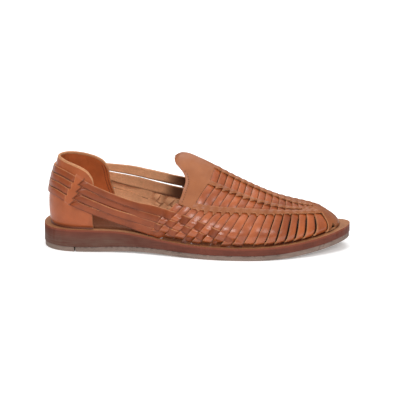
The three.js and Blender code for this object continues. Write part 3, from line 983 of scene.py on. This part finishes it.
def vamp_strip(work, number, chance):
    """One strip from the outer sole edge over the crest to the inner one."""
    s = sizes()
    start, end = strip_edges(number)
    width = (end - start) * FEATHER_MM
    gap = mm(s.strip_gap) / width / 2
    opens = GAP_OPENS / width * smooth(*OPENING_STRIPS, number)
    sign = 1 if number % 2 else -1
    tilt = STRIP_TILT + chance.uniform(-TILT_CHANCE, TILT_CHANCE)
    tilt += TOE_TILT * float(smooth(*TILTED_STRIPS, number))

    def place(u, v):
        over = 2 * v - FINE_FEET * np.sin(2 * math.pi * v) / math.pi
        side, _, rise = folded(0.5, over)
        room = gap + opens * smooth(*GAP_BEGINS, rise) * (1 - smooth(*GAP_ENDS, rise))
        share = blend(room, 1 - room, u)
        run = line_run(blend(start, end, share), rise)
        aside = 2 * u - 1
        crown = STRIP_CROWN * (1 - aside**2) - STRIP_DEPTH
        height = last_point(run, over)[:, 2]
        weave = mm(s.weave_depth) * weave_lift(sign, side, run, height)
        swell = band_bulge(np.full_like(run, start), rise) * (1 - WEAVE_FLATTENS * np.abs(weave))
        offset = crown + swell + weave - tilt * aside + tucked(rise)
        return on_leather(run, over, offset), rise * RISE_MM, aside

    work.patch(*STRIP_GRID, place, tone=chance.uniform(*STRIP_TONES))


# How far the strips behind the panel reach above the first woven strap's edge, in millimetres: by number
# on the outer side, and on the inner one.
THROAT_REACH = {-2: 8.6, -1: 10.6}
INNER_REACH = 2.6

# Share of such a strip after which it folds in, how far on the outer and the inner side, its crown and
# its tilt in millimetres, and the rise over which it is tucked in.
FOLD_FROM, OUTER_FOLD, INNER_FOLD = 0.9, 4.5, 1.2
WEAVE_CROWN, WEAVE_TILT, WEAVE_TUCK = 0.3, 0.4, 0.06


def weave_strip(work, number, side, chance):
    """A strip behind the panel, from the sole up through the straps, folded in above the first woven one.
    On the outer side, the nearer the panel, the higher it reaches."""
    s = sizes()
    start, end = strip_edges(number)
    gap = mm(s.strip_gap) / ((end - start) * FEATHER_MM) / 2
    sign = 1 if number % 2 else -1
    middle = (start + end) / 2
    first = 0 if side < 0 else INNER_WOVEN
    reach = mm(s.odd_strap) / 2 + (THROAT_REACH[number] if side < 0 else INNER_REACH)
    deep = OUTER_FOLD if side < 0 else INNER_FOLD
    top = 0.3
    for _ in range(3):
        run = line_run(middle, top)
        top = float(rise_at(side, run, strap_height(first, side, run) + reach))

    def place(u, v):
        way = u if side < 0 else 1 - u
        rise = top * np.minimum(v / FOLD_FROM, 1)
        over = rise if side < 0 else 2 - rise
        run = line_run(blend(start, end, blend(gap, 1 - gap, way)), rise)
        aside = 2 * way - 1
        height = last_point(run, over)[:, 2]
        weave = mm(s.weave_depth) * weave_lift(sign, side, run, height)
        fold = -deep * np.maximum(0, v - FOLD_FROM) / (1 - FOLD_FROM)
        shape = WEAVE_CROWN * (1 - aside**2) - WEAVE_TILT * aside
        offset = shape + weave + tucked(rise, reach=WEAVE_TUCK) + fold
        return on_leather(run, over, offset), rise * RISE_MM, aside

    work.patch(*WEAVE_GRID, place, tone=chance.uniform(*WEAVE_TONES))


# The underlay's depth below the last, its thickness and rounding in millimetres; from this strip on, and
# below this rise, it leaves the gaps open.
UNDERLAY_DEPTH, UNDERLAY_THICKNESS, UNDERLAY_EDGE = 3.1, 0.7, 0.15
OPEN_STRIP, OPEN_BELOW = 10, 0.52
UNDERLAY_ROWS = 60


def underlay(work):
    """Plain leather under the strips, the dark bottom of their gaps; at the toe the gaps stay open."""

    def place(u, v):
        over = 2 * v
        rise = folded(0.5, over)[2]
        run = line_run(STRIPS(STRIP_COUNT * u)[0], rise)
        return on_leather(run, over, tucked(rise) - UNDERLAY_DEPTH), over * RISE_MM, 0 * u

    def keep(u, v):
        rise = 1 - np.abs(2 * v - 1)
        return (STRIP_COUNT * u < OPEN_STRIP) | (rise > OPEN_BELOW)

    work.patch(STRIP_COUNT * 2, UNDERLAY_ROWS, place, keep)


class SANDAL_OT_strips(bpy.types.Operator):
    """Crosswise strips of the vamp and of the weave behind it"""

    bl_idname = "sandal.strips"
    bl_label = "Crosswise strips"

    def execute(self, context):
        chance = random.Random(11)
        work = Leatherwork()
        for number in range(STRIP_COUNT):
            vamp_strip(work, number, chance)
        for side in (-1, 1):
            for number in range(-WEAVE_COUNT if side > 0 else -OUTER_WEAVE, 0):
                weave_strip(work, number, side, chance)
        finishes = [waxed_strips(), flesh_side(), cut_edge()]
        made = work.piece("crosswise_strips", mm(sizes().strip_thickness), finishes)
        stands_for(made, "woven_leather", "upper")
        under = Leatherwork()
        underlay(under)
        lining = under.piece("vamp_underlay", UNDERLAY_THICKNESS, [brown_flesh()] * 3, edge=UNDERLAY_EDGE)
        return {"FINISHED"}


# Heights of a strap's face off the last in millimetres, round the heel, along the side and under the
# bridge; its crown; how far it goes in at its ends, and where it goes under the panel.
STRAP_PROUD, STRAP_ALONG, STRAP_UNDER, STRAP_CROWN = 1.6, 0.2, -0.4, 0.25
END_TUCK, THROAT_TUCK = 3.0, 1.6

# Along the open side the first and third strap stand out, and the others lie lower, deeper further on.
STEP_OUT, STEP_IN, STEP_DEEPER = 0.5, 0.6, 0.7
STEP_BEGINS, STEP_DEEPENS, STEP_ENDS = (0.15, 0.18), (0.2, 0.24), (0.28, 0.34)

# Runs where the inner straps begin to weave and go under the panel; the last strap's share of the weave.
INNER_WEAVE_BEGINS, UNDER_PANEL, LAST_WAVE = (0.285, 0.33), (0.35, 0.42), 0.25


def sided(turn):
    """The side and the run of a place on the way round the heel."""
    return np.where(turn > 0, -1, 1), np.abs(turn)


def strap_offset(row, turn, aside):
    """Height of a strap's face off the last: proud at the heel, under the bridge, along the side, woven."""
    side, run = sided(turn)
    rear, front_top, front_low = SLITS[row]
    front = blend(front_low, front_top, (aside + 1) / 2)
    under = smooth(rear - 0.006, rear + 0.004, run) * (1 - smooth(front - 0.002, front + 0.012, run))
    odd = row % 2 == 0
    step = STEP_OUT if odd else -STEP_IN - STEP_DEEPER * smooth(*STEP_DEEPENS, run)
    shingle = step * smooth(*STEP_BEGINS, run) * (1 - smooth(*STEP_ENDS, run))
    number = strip_number(run, rise_at(side, run, strap_height(row, side, run)))
    woven = np.where(
        side < 0,
        smooth(-OUTER_WEAVE - 0.5, -OUTER_WEAVE, number),
        smooth(*INNER_WEAVE_BEGINS, run) * (row >= INNER_WOVEN),
    )
    wave = flat_wave(number - 0.5) * (1 if odd else -1)
    lift = mm(sizes().weave_depth) * wave * woven * (LAST_WAVE if row == STRAP_COUNT - 1 else 1)
    tuck = THROAT_TUCK * smooth(*UNDER_PANEL, run) * ((side > 0) & (row < INNER_WOVEN))
    end = np.where(side < 0, OUTER_STRAPS[row][-2], INNER_STRAPS[row][-2])
    tuck = tuck + END_TUCK * smooth(end - 0.05, end - 0.02, run)
    front_edge = np.where(side < 0, OUTER_FRONT, INNER_FRONT)
    free = blend(STRAP_PROUD, STRAP_ALONG, smooth(front_edge + 0.006, front_edge + 0.1, run)) - tuck
    return blend(free, STRAP_UNDER, under) + shingle + lift + STRAP_CROWN * (1 - aside**2)


# Widths of the straps in millimetres at the heel, in the weave, for the first and last there, which widen
# upward and downward, and, for each strap, on the inner side; runs over which each takes its width along
# the side and its woven width.
HEEL_WIDTH, WOVEN_WIDTH, WIDE_WOVEN = 6.2, 7.2, 8.8
INNER_WIDTHS = (10.2, 11.6, 9.5, 9.0)
SIDE_BEGINS = (0.14, 0.33)
WIDENS = ((0.30, 0.38), (0.30, 0.38), (0.30, 0.38), (0.22, 0.34))
STRAP_GRID = (260, 8)

# Tones of the straps, the share of tone that a painted shadow takes from the lower edge on the inner side,
# the part of the width and the runs over which it does so, and the runs over which painted shade darkens all
# of the unwoven straps towards the throat, under the tab.
STRAP_TONES, EDGE_SHADOW, SHADOW_PART = (0.35, 0.7), 0.9, (0.05, 0.3)
EDGE_SHADOW_BEGINS, THROAT_SHADE = (0.12, 0.18), (0.35, 0.44)


def side_strap(work, row, chance):
    """One strap from its inner end round the heel to the outer one, narrower where it rounds the heel."""
    s = sizes()
    full = mm(s.odd_strap if row % 2 == 0 else s.even_strap)
    inner_end, outer_end = INNER_STRAPS[row][-2], OUTER_STRAPS[row][-2]
    spread = {0: 1, STRAP_COUNT - 1: -1}.get(row, 0)

    def middle(turn):
        side, run = sided(turn)
        return rise_at(side, run, strap_height(row, side, run))

    def place(u, v):
        turn = blend(-inner_end, outer_end, u)
        aside = 2 * v - 1
        rise = middle(turn)
        step = 0.002
        ahead = last_point(turn + step, middle(turn + step)) - last_point(turn - step, middle(turn - step))
        normal = outward(turn, rise)
        across = unit(np.cross(normal, ahead))
        offset = strap_offset(row, turn, aside)
        run = np.abs(turn)
        along_side = np.where(turn > 0, full, INNER_WIDTHS[row])
        width = blend(HEEL_WIDTH, along_side, smooth(*SIDE_BEGINS, run))
        outer = smooth(*WIDENS[row], run) * (turn > 0)
        width = blend(width, WIDE_WOVEN if spread else WOVEN_WIDTH, outer)
        shift = aside * width / 2 + spread * (WIDE_WOVEN - WOVEN_WIDTH) / 2 * outer
        points = last_point(turn, rise) + across * shift[:, None] + normal * offset[:, None]
        return points, turn * RUN_MM, aside

    dye = chance.uniform(*STRAP_TONES)

    # Painted shade in the tone: a painted shadow along the inner side's lower edge, and painted shade over
    # the unwoven straps near the throat, where the tab shades them; face and flesh side both darken with it.
    def tone(u, v):
        inner = blend(inner_end, -outer_end, u)
        edge = EDGE_SHADOW * (1 - smooth(*SHADOW_PART, v)) * smooth(*EDGE_SHADOW_BEGINS, inner)
        throat = smooth(*THROAT_SHADE, inner) * (row < INNER_WOVEN)
        return dye * (1 - throat) * (1 - edge)

    work.patch(*STRAP_GRID, place, tone=tone)


class SANDAL_OT_straps(bpy.types.Operator):
    """Four straps that run round the heel and into the weave"""

    bl_idname = "sandal.straps"
    bl_label = "Side straps"

    def execute(self, context):
        chance = random.Random(5)
        work = Leatherwork()
        for row in range(STRAP_COUNT):
            side_strap(work, row, chance)
        finishes = [waxed_straps(), flesh_side(), cut_edge()]
        made = work.piece("side_straps", mm(sizes().strap_thickness), finishes)
        stands_for(made, "woven_leather", "upper")
        return {"FINISHED"}


# Panel with its bands

# Columns of the throat piece, of each strip's width and of the nose; rows below the low band, on each
# band, on the strips' open parts and on half the spine.
THROAT_COLUMNS, STRIP_COLUMNS, NOSE_COLUMNS = 18, 8, 16
BELOW_ROWS, BAND_ROWS, TOOTH_ROWS, SPINE_ROWS = 12, 4, 6, 4
PANEL_STOPS = np.cumsum([0, BELOW_ROWS, BAND_ROWS, TOOTH_ROWS, BAND_ROWS, TOOTH_ROWS, SPINE_ROWS])
PANEL_ROWS = int(PANEL_STOPS[-1])
BAND_END = THROAT_COLUMNS + STRIP_COLUMNS * STRIP_COUNT
PANEL_COLUMNS = BAND_END + NOSE_COLUMNS

# Which stretch between two stops is which.
LOW_BAND, BETWEEN, HIGH_BAND, SPINE = 1, 2, 3, 5

# Steps of the bands' edges, in rise: below the low band, below the high one and along the spine. Then the
# runs over which all begin and end, and the phases and runs of the first two.
HOOK, STAIR, NOTCH = -0.040, 0.050, 0.02
TEETH_BEGIN, TEETH_END = (0.478, 0.5), (0.88, 0.91)
HOOK_PHASES, HOOK_ENDS = (0.55, 0.95), (0.70, 0.85)
STAIR_PHASE, STAIR_ENDS = 0.55, (0.66, 0.74)

# How far the tip of the tab bends down on the crest, in millimetres, over which share of the throat piece
# and which rises.
TAB_DROOP, TAB_BEND, TAB_RISES = 2.0, 0.4, (0.5, 0.9)

# In millimetres: the panel's face off the last, the ripple over each strip and the crown of its bands, how
# far the throat's edge rolls in and the panel turns in at the sole. Then the share of the throat that rolls.
PANEL_FACE, BAND_RIPPLE, BAND_CROWN, THROAT_ROLL, PANEL_TUCK = 1.6, 0.22, 0.35, 0.5, 2.2
ROLLED_SHARE = 0.18

# Columns of the nose over which the crest flattens into straight lines from side to side.
NOSE_SPAN = 6

# The hole between nose and sole: its foot and top in rise, its middle line and how steeply it narrows. From
# some line on, the two bands are one.
HOLE_FOOT, HOLE_TOP, HOLE_MIDDLE, HOLE_NARROWS = 0.03, 0.25, 0.937, 8
ONE_BAND = 0.80

# Tone of the throat, how much darker the bands and the nose are, and the lines over which the nose darkens.
THROAT_TONE, BAND_DARKER, NOSE_DARKER, NOSE_DARKENS = 0.58, 0.2, 0.12, (0.86, 0.95)


def panel_edges(start, phase):
    """Rises of the bands' edges from the sole to the crest, stepped where each strip comes out."""
    low, low_half, high, high_half, spine = BANDS(start)
    steps = smooth(*TEETH_BEGIN, start) * (1 - smooth(*TEETH_END, start))
    hook = HOOK * smooth(*HOOK_PHASES, phase) * (1 - smooth(*HOOK_ENDS, start))
    stair = STAIR * (phase - STAIR_PHASE) * (1 - smooth(*STAIR_ENDS, start))
    return [
        0 * low,
        low - low_half + hook * steps,
        low + low_half,
        high - high_half + stair * steps,
        high + high_half,
        1 - spine + NOTCH * (phase - 0.5) * steps,
        1 + 0 * low,
    ]


def panel_column(u):
    """The column's strip line, and its phase within the strip from rear (0) to front (1)."""
    column = np.round(u * PANEL_COLUMNS, 6)
    number = np.clip((column - THROAT_COLUMNS) / STRIP_COLUMNS, 0, STRIP_COUNT)
    nose = np.clip((column - BAND_END) / NOSE_COLUMNS, 0, 1)
    start = blend(STRIPS(number)[0], 1, nose)
    return column, start, np.where(column >= BAND_END, 0.5, number % 1)


def panel_rise(u, v):
    _, start, phase = panel_column(u)
    row = np.round(np.minimum(v, 1 - v) * 2 * PANEL_ROWS, 6)
    edges = np.array(panel_edges(start, phase))
    band = np.clip(np.searchsorted(PANEL_STOPS, row, side="right") - 1, 0, len(PANEL_STOPS) - 2)
    share = (row - PANEL_STOPS[band]) / (PANEL_STOPS[band + 1] - PANEL_STOPS[band])
    pick = np.arange(len(row))
    return blend(edges[band, pick], edges[band + 1, pick], share), band, share


def panel_place(u, v):
    column, start, phase = panel_column(u)
    rise, band, share = panel_rise(u, v)
    throat = np.clip(column / THROAT_COLUMNS, 0, 1)
    run = np.minimum(blend(THROAT(rise)[0], line_run(start, rise), throat), 1)
    over = np.where(v > 0.5, 2 - rise, rise)
    on_strips = (column > THROAT_COLUMNS) & (column < BAND_END)
    held = np.isin(band, (LOW_BAND, HIGH_BAND)) & on_strips
    spine = (band == SPINE) & on_strips
    aside = np.where(held, 2 * share - 1, np.where(spine, share - 1, 0))
    ripple = BAND_RIPPLE * np.cos(2 * math.pi * (phase - 0.5)) * (held | spine)
    crown = BAND_CROWN * (1 - aside**2) * (held | spine)
    rolled = -THROAT_ROLL * (1 - smooth(0, ROLLED_SHARE, throat)) * (band > 0)
    droop = -TAB_DROOP * np.clip(1 - throat / TAB_BEND, 0, 1) ** 2 * smooth(*TAB_RISES, rise)
    offset = PANEL_FACE + ripple + crown + rolled + droop + tucked(rise, PANEL_TUCK)
    points = on_leather(run, over, offset)
    spanned = (smooth(0, NOSE_SPAN, column - BAND_END) * (band == SPINE))[:, None]
    low = 1 - BANDS(start)[4]
    ends = on_leather(run, low, offset), on_leather(run, 2 - low, offset)
    across = np.clip((over - low) / (2 - 2 * low), 0, 1)[:, None]
    return blend(points, blend(*ends, across), spanned), run * RUN_MM, aside


def panel_keep(u, v):
    column, start, _ = panel_column(u)
    row = np.minimum(v, 1 - v) * 2 * PANEL_ROWS
    band = np.searchsorted(PANEL_STOPS, row, side="right") - 1
    throat = (column < THROAT_COLUMNS) & (band > 0)
    nose = column > BAND_END
    rise = panel_rise(u, v)[0]
    hole = (rise < HOLE_TOP - np.abs(start - HOLE_MIDDLE) * HOLE_NARROWS) & (rise > HOLE_FOOT)
    bands = np.isin(band, (LOW_BAND, HIGH_BAND, SPINE))
    merged = (band == BETWEEN) & (start > ONE_BAND)
    return throat | (nose & ~hole) | bands | merged


def panel_tone(u, v):
    """The bands have taken a little more dye than the throat, and the nose more still."""
    column, start, _ = panel_column(u)
    darker_bands = BAND_DARKER * (column > THROAT_COLUMNS)
    return THROAT_TONE - darker_bands - NOSE_DARKER * smooth(*NOSE_DARKENS, start)


class SANDAL_OT_panel(bpy.types.Operator):
    """Smooth throat panel with its tab, spine, bands and nose"""

    bl_idname = "sandal.panel"
    bl_label = "Panel"

    def execute(self, context):
        c = colours()
        work = Leatherwork()
        work.patch(PANEL_COLUMNS, 2 * PANEL_ROWS, panel_place, panel_keep, tone=panel_tone)
        face = tanned_leather("smooth_panel_leather", c.panel, c.panel_shade, c.worn, 0.45, 1.2, 0.35)
        finishes = [face, flesh_side(), cut_edge()]
        made = work.piece("throat_panel", mm(sizes().panel_thickness), finishes)
        stands_for(made, "panel_leather", "vamp_panel")
        return {"FINISHED"}


# Heel counter

CUP_GRID, BRIDGE_GRID, COLLAR_GRID = (160, 36), (8, 96), (180, 16)

# Share of the cup's height over which it turns in at the sole; how sharply wear gathers at the collar,
# and the share over which a painted shadow darkens the foot.
CUP_TUCK, COLLAR_WEAR, FOOT_SHADOW = 0.06, 12, 0.1

# The bridge: strap rows at its lower and upper end and over which it rises, its height off the last in
# millimetres at the ends and over the straps, how far it laps the rear slit, its thickness and rounding.
BRIDGE_ENDS, BRIDGE_TOP_RISES, BRIDGE_LOW_RISES = (3.9, -0.9), (-0.85, -0.3), (3.3, 3.85)
BRIDGE_SUNK, BRIDGE_PROUD, BRIDGE_LAP = -0.25, 1.0, 0.001
BRIDGE_THICKNESS, BRIDGE_EDGE = 1.1, 0.3

# The collar's fold: shares of its width on each flank and in the turn, radians past half a circle, the lowest
# sine that counts there, and in millimetres its room round the cup, its seat below the collar, how far its
# edges hang down, its thickness and rounding.
FOLD_FLANK, FOLD_TURN, FOLD_PAST = 0.25, 0.5, 0.35
FOLD_LOWEST = -0.3
FOLD_ROOM, FOLD_SEAT, FOLD_HANG = 0.12, 0.6, 0.4
FOLD_THICKNESS, FOLD_EDGE = 0.4, 0.12


def counter_height(turn, share):
    side, run = sided(turn)
    floor = LEVELS(feather(side, run)[0])[1] + SEAT
    collar = np.where(side < 0, OUTER_COLLAR(run)[0], INNER_COLLAR(run)[0])
    return side, run, blend(floor, collar, share)


def counter_turn(u):
    """The way round the counter, from its inner front edge (0) to its outer one (1)."""
    return blend(-INNER_FRONT, OUTER_FRONT, u)


def counter_place(u, v):
    turn = counter_turn(u)
    rise = rise_at(*counter_height(turn, v))
    # Across is 1 at the collar, rubbed lighter, and -1 at the foot, which takes a painted shadow.
    across = v**COLLAR_WEAR - 1 + smooth(0, FOOT_SHADOW, v)
    return on_leather(turn, rise, tucked(v, reach=CUP_TUCK)), turn * RUN_MM, across


def bridge(work, way):
    """The counter's own leather between the slits, lifted over the straps, its front edge stepped at each."""
    rears, tops, lows = np.array(SLITS).T
    last_row = STRAP_COUNT - 1

    def place(u, v):
        row = blend(*BRIDGE_ENDS, v)
        near = np.clip(np.round(row), 0, last_row).astype(int)
        aside = np.clip((near - row) * 2, -1, 1)
        front = blend(lows[near], tops[near], (aside + 1) / 2)
        run = blend(rears[near] - BRIDGE_LAP, front, u if way > 0 else 1 - u)
        first, last = strap_height(0, -way, run), strap_height(last_row, -way, run)
        rise = rise_at(-way, run, first + (last - first) * row / last_row)
        lifted = smooth(*BRIDGE_TOP_RISES, row) * (1 - smooth(*BRIDGE_LOW_RISES, row))
        offset = blend(BRIDGE_SUNK, BRIDGE_PROUD, lifted)
        return on_leather(run * way, rise, offset), run * RUN_MM, (2 * u - 1) * way

    work.patch(*BRIDGE_GRID, place)


def binding_place(u, v):
    """A narrow strip folded over the collar, from outside to inside."""
    turn = counter_turn(u)
    side, run, height = counter_height(turn, 1)
    thick = mm(sizes().counter_thickness)
    turned = blend(-FOLD_PAST, math.pi + FOLD_PAST, np.clip((v - FOLD_FLANK) / FOLD_TURN, 0, 1))
    radius = thick / 2 + FOLD_ROOM
    hang = FOLD_HANG * np.maximum(0, np.abs(v - 0.5) - FOLD_TURN / 2) / FOLD_FLANK
    height = height - FOLD_SEAT + radius * np.maximum(np.sin(turned), FOLD_LOWEST) - hang
    offset = -thick / 2 + radius * np.cos(turned)
    return on_leather(turn, rise_at(side, run, height), offset), turn * RUN_MM, 2 * v - 1


class SANDAL_OT_counter(bpy.types.Operator):
    """Heel counter with its lining, the bridges over the straps and the folded collar"""

    bl_idname = "sandal.counter"
    bl_label = "Heel counter"

    def execute(self, context):
        c = colours()
        smooth_face = c.counter, c.counter_shade, c.worn, 0.42, 1.2, 0.35
        # The collar is rubbed lighter, and a painted shadow darkens the foot of the cup.
        face = tanned_leather("smooth_counter_leather", *smooth_face, light_edge=1, wax=0.9)
        lining = tanned_leather("lining_leather", c.lining, darker(c.lining, 0.6), c.lining, 0.5, 1.2)
        cup = Leatherwork()
        cup.patch(*CUP_GRID, counter_place)
        made = cup.piece("heel_counter_cup", mm(sizes().counter_thickness), [face, lining, cut_edge()])
        stands_for(made, "counter_leather", "heel_counter")
        straps = Leatherwork()
        for way in (-1, 1):
            bridge(straps, way)
        # A painted shadow darkens the bridges' front edges at the slits; their rear edges are rubbed lighter.
        slit = tanned_leather("slit_counter_leather", *smooth_face, light_edge=-1, wax=0.9)
        bridges = [slit, flesh_side(), cut_edge()]
        over = straps.piece("strap_bridges", BRIDGE_THICKNESS, bridges, edge=BRIDGE_EDGE)
        collar = Leatherwork()
        collar.patch(*COLLAR_GRID, binding_place, tone=0.6)
        binding = [cut_edge(), lining, cut_edge()]
        fold = collar.piece("collar_fold", FOLD_THICKNESS, binding, edge=FOLD_EDGE)
        return {"FINISHED"}


# Stitches

# Rows of stitches: the rises between which they follow the throat, the runs between which they follow the
# collar's inner front, how many there are, and how far they stand back from the edge, in run.
THROAT_STITCHES, COLLAR_STITCHES = (0.37, 0.68, 14), (0.214, 0.247, 22)
THROAT_SETBACK, COLLAR_SETBACKS = 0.009, (0.006, 0.014)

# In millimetres: a stitch's length, its thickness on the throat and on the lining, its height off the
# last on the throat and above the lining; and the angle by which a throat stitch slants.
STITCH_LENGTH, THROAT_THREAD, LINING_THREAD = 1.5, 0.55, 0.5
THROAT_HEIGHT, LINING_HEIGHT = 1.75, 0.05
THROAT_SLANT = 1.1


def stitch(mesh, point, along, normal, thick):
    """One stitch: a short round bar sunk a little in the leather, its ends tucked in."""
    bar = bmesh.ops.create_uvsphere(mesh, u_segments=6, v_segments=4, radius=0.5)
    along, normal = Vector(along), Vector(normal)
    across = normal.cross(along).normalized()
    shape = Matrix((along * STITCH_LENGTH, across * thick, normal * thick)).transposed().to_4x4()
    shape.translation = Vector(point)
    bmesh.ops.transform(mesh, verts=bar["verts"], matrix=Matrix.Scale(MM, 4) @ shape)


def stitch_row(mesh, run, over, offset, slant, thick):
    """Stitches along a line on the last, each turned by an angle from the line."""
    points = on_leather(run, over, offset)
    normals = outward(run, over)
    ahead = unit(np.gradient(points, axis=0))
    for point, normal, way in zip(points, normals, ahead):
        along = way * math.cos(slant) + np.cross(normal, way) * math.sin(slant)
        stitch(mesh, point, along, normal, thick)


class SANDAL_OT_stitches(bpy.types.Operator):
    """Stitches along the throat's edge and round the lining"""

    bl_idname = "sandal.stitches"
    bl_label = "Stitches"

    def execute(self, context):
        c = colours()
        thread = raw_leather("waxed_thread", c.thread, darker(c.thread, 0.6), 0.8, 0.6)
        mesh = bmesh.new()
        rise = np.linspace(*THROAT_STITCHES)
        run = THROAT(rise)[0] + THROAT_SETBACK
        for over in (rise, 2 - rise):
            stitch_row(mesh, run, over, THROAT_HEIGHT, THROAT_SLANT, THROAT_THREAD)
        along = np.linspace(*COLLAR_STITCHES)
        inside = -mm(sizes().counter_thickness) - LINING_HEIGHT
        for setback in COLLAR_SETBACKS:
            rise = rise_at(1, along - setback, INNER_COLLAR(along)[0])
            stitch_row(mesh, setback - along, rise, inside, 0.0, LINING_THREAD)
        made = as_piece(mesh, "stitches", [thread])
        return {"FINISHED"}


# Studio

# The camera's angles in degrees and its distance in metres from the point that it aims at, where that
# point lies in the square picture, the picture's scale, and the sensor's width in millimetres.
CAMERA_AZIMUTH, CAMERA_RISE, CAMERA_AWAY = 5.0, 16.0, 2.6
AIM = Vector((0, 0, 0.030))
AIM_PIXEL, PICTURE, PIXELS_PER_MM = (196.6, 214.5), 400, 1.054
SENSOR = 36.0

# The floor's half width in metres, the card's tooth in millimetres, the sky's light, and their colours.
FLOOR_HALF, CARD_TOOTH, SKY_STRENGTH = 5, 3, 0.3
CARD, WHITE = linear("#F9F9F9"), linear("#FFFFFF")

# Softboxes: place, target, size in metres and power. The back one keeps the floor behind the shoe white.
SOFTBOXES = (
    ("overhead", (0.1, 0.1, 1.6), (0, 0, 0), 1.4, 11.5),
    ("key", (-0.45, -0.75, 1.35), (0, 0, 0), 0.45, 8.0),
    ("toe", (0.9, -0.7, 0.9), (0, 0, 0), 0.4, 3),
    ("front", (0.15, -1.2, 0.70), (0.03, 0, 0), 0.22, 3.5),
    ("back", (0, 1.3, 1.3), (0, 1.2, 0), 1.4, 13),
)


def seen_from(azimuth, rise, away):
    turn, lift = math.radians(azimuth), math.radians(rise)
    flat = math.cos(lift)
    return AIM + away * Vector((math.sin(turn) * flat, -math.cos(turn) * flat, math.sin(lift)))


def aimed(thing, place, target):
    thing.location = place
    thing.rotation_euler = (target - Vector(place)).to_track_quat("-Z", "Y").to_euler()
    bpy.context.scene.collection.objects.link(thing)


def white_card():
    """Matt card with a faint tooth, lit up a little so that it stays white round the shoe."""
    finish, tree = new_finish("white_card")
    place = add(tree, "TexCoord")["Object"]
    tooth = add(tree, "TexNoise", {"Vector": place, "Scale": per_metre(CARD_TOOTH)})
    press = add(tree, "Bump", {"Height": tooth["Fac"], "Strength": 0.05, "Distance": 0.1 * MM})
    shader = add(
        tree,
        "BsdfPrincipled",
        {
            "Base Color": rgba(CARD),
            "Roughness": 0.9,
            "Normal": press[0],
            "Emission Color": rgba(WHITE),
            "Emission Strength": 0.25,
        },
    )
    add(tree, "OutputMaterial", {"Surface": shader["BSDF"]})
    return finish


class SANDAL_OT_stage(bpy.types.Operator):
    """Pale floor, soft lights and the camera"""

    bl_idname = "sandal.stage"
    bl_label = "Studio"

    def execute(self, context):
        scene = context.scene
        mesh = bmesh.new()
        bmesh.ops.create_grid(mesh, x_segments=8, y_segments=8, size=FLOOR_HALF)
        data = bpy.data.meshes.new("floor")
        mesh.to_mesh(data)
        mesh.free()
        floor = bpy.data.objects.new("floor", data)
        scene.collection.objects.link(floor)
        data.materials.append(white_card())
        for name, where, target, size, power in SOFTBOXES:
            lamp = bpy.data.lights.new(name, "AREA")
            lamp.size = size
            lamp.energy = power
            aimed(bpy.data.objects.new(name, lamp), where, Vector(target))
        world = bpy.data.worlds.new("studio")
        world.use_nodes = True
        sky = world.node_tree.nodes["Background"]
        sky.inputs["Color"].default_value = rgba(WHITE)
        sky.inputs["Strength"].default_value = SKY_STRENGTH
        scene.world = world
        lens = bpy.data.cameras.new("camera")
        lens.sensor_width = SENSOR
        lens.lens = SENSOR * CAMERA_AWAY / (PICTURE / PIXELS_PER_MM * MM)
        lens.shift_x = (PICTURE / 2 - AIM_PIXEL[0]) / PICTURE
        lens.shift_y = (AIM_PIXEL[1] - PICTURE / 2) / PICTURE
        camera = bpy.data.objects.new("camera", lens)
        aimed(camera, seen_from(CAMERA_AZIMUTH, CAMERA_RISE, CAMERA_AWAY), AIM)
        scene.camera = camera
        scene.view_settings.view_transform = "Standard"
        return {"FINISHED"}


class SANDAL_PT_panel(bpy.types.Panel):
    bl_idname = "SANDAL_PT_panel"
    bl_label = "Sandal"
    bl_space_type = "VIEW_3D"
    bl_region_type = "UI"
    bl_category = "Sandal"

    def draw(self, context):
        for operator in OPERATORS:
            self.layout.operator(operator.bl_idname)
        for group in (context.scene.sandal_sizes, context.scene.sandal_colours):
            box = self.layout.box()
            for name in group.__annotations__:
                box.prop(group, name)


OPERATORS = (
    SANDAL_OT_wedge,
    SANDAL_OT_pale_sheets,
    SANDAL_OT_sock,
    SANDAL_OT_strips,
    SANDAL_OT_straps,
    SANDAL_OT_panel,
    SANDAL_OT_counter,
    SANDAL_OT_stitches,
    SANDAL_OT_stage,
)
CLASSES = (SandalSizes, SandalColours, *OPERATORS, SANDAL_PT_panel)


def register():
    for kind in CLASSES:
        bpy.utils.register_class(kind)
    bpy.types.Scene.sandal_sizes = PointerProperty(type=SandalSizes)
    bpy.types.Scene.sandal_colours = PointerProperty(type=SandalColours)


def unregister():
    del bpy.types.Scene.sandal_colours
    del bpy.types.Scene.sandal_sizes
    for kind in reversed(CLASSES):
        bpy.utils.unregister_class(kind)


def main():
    register()
    for operator in OPERATORS:
        _, name = operator.bl_idname.split(".")
        getattr(bpy.ops.sandal, name)()


if __name__ == "__main__":
    main()
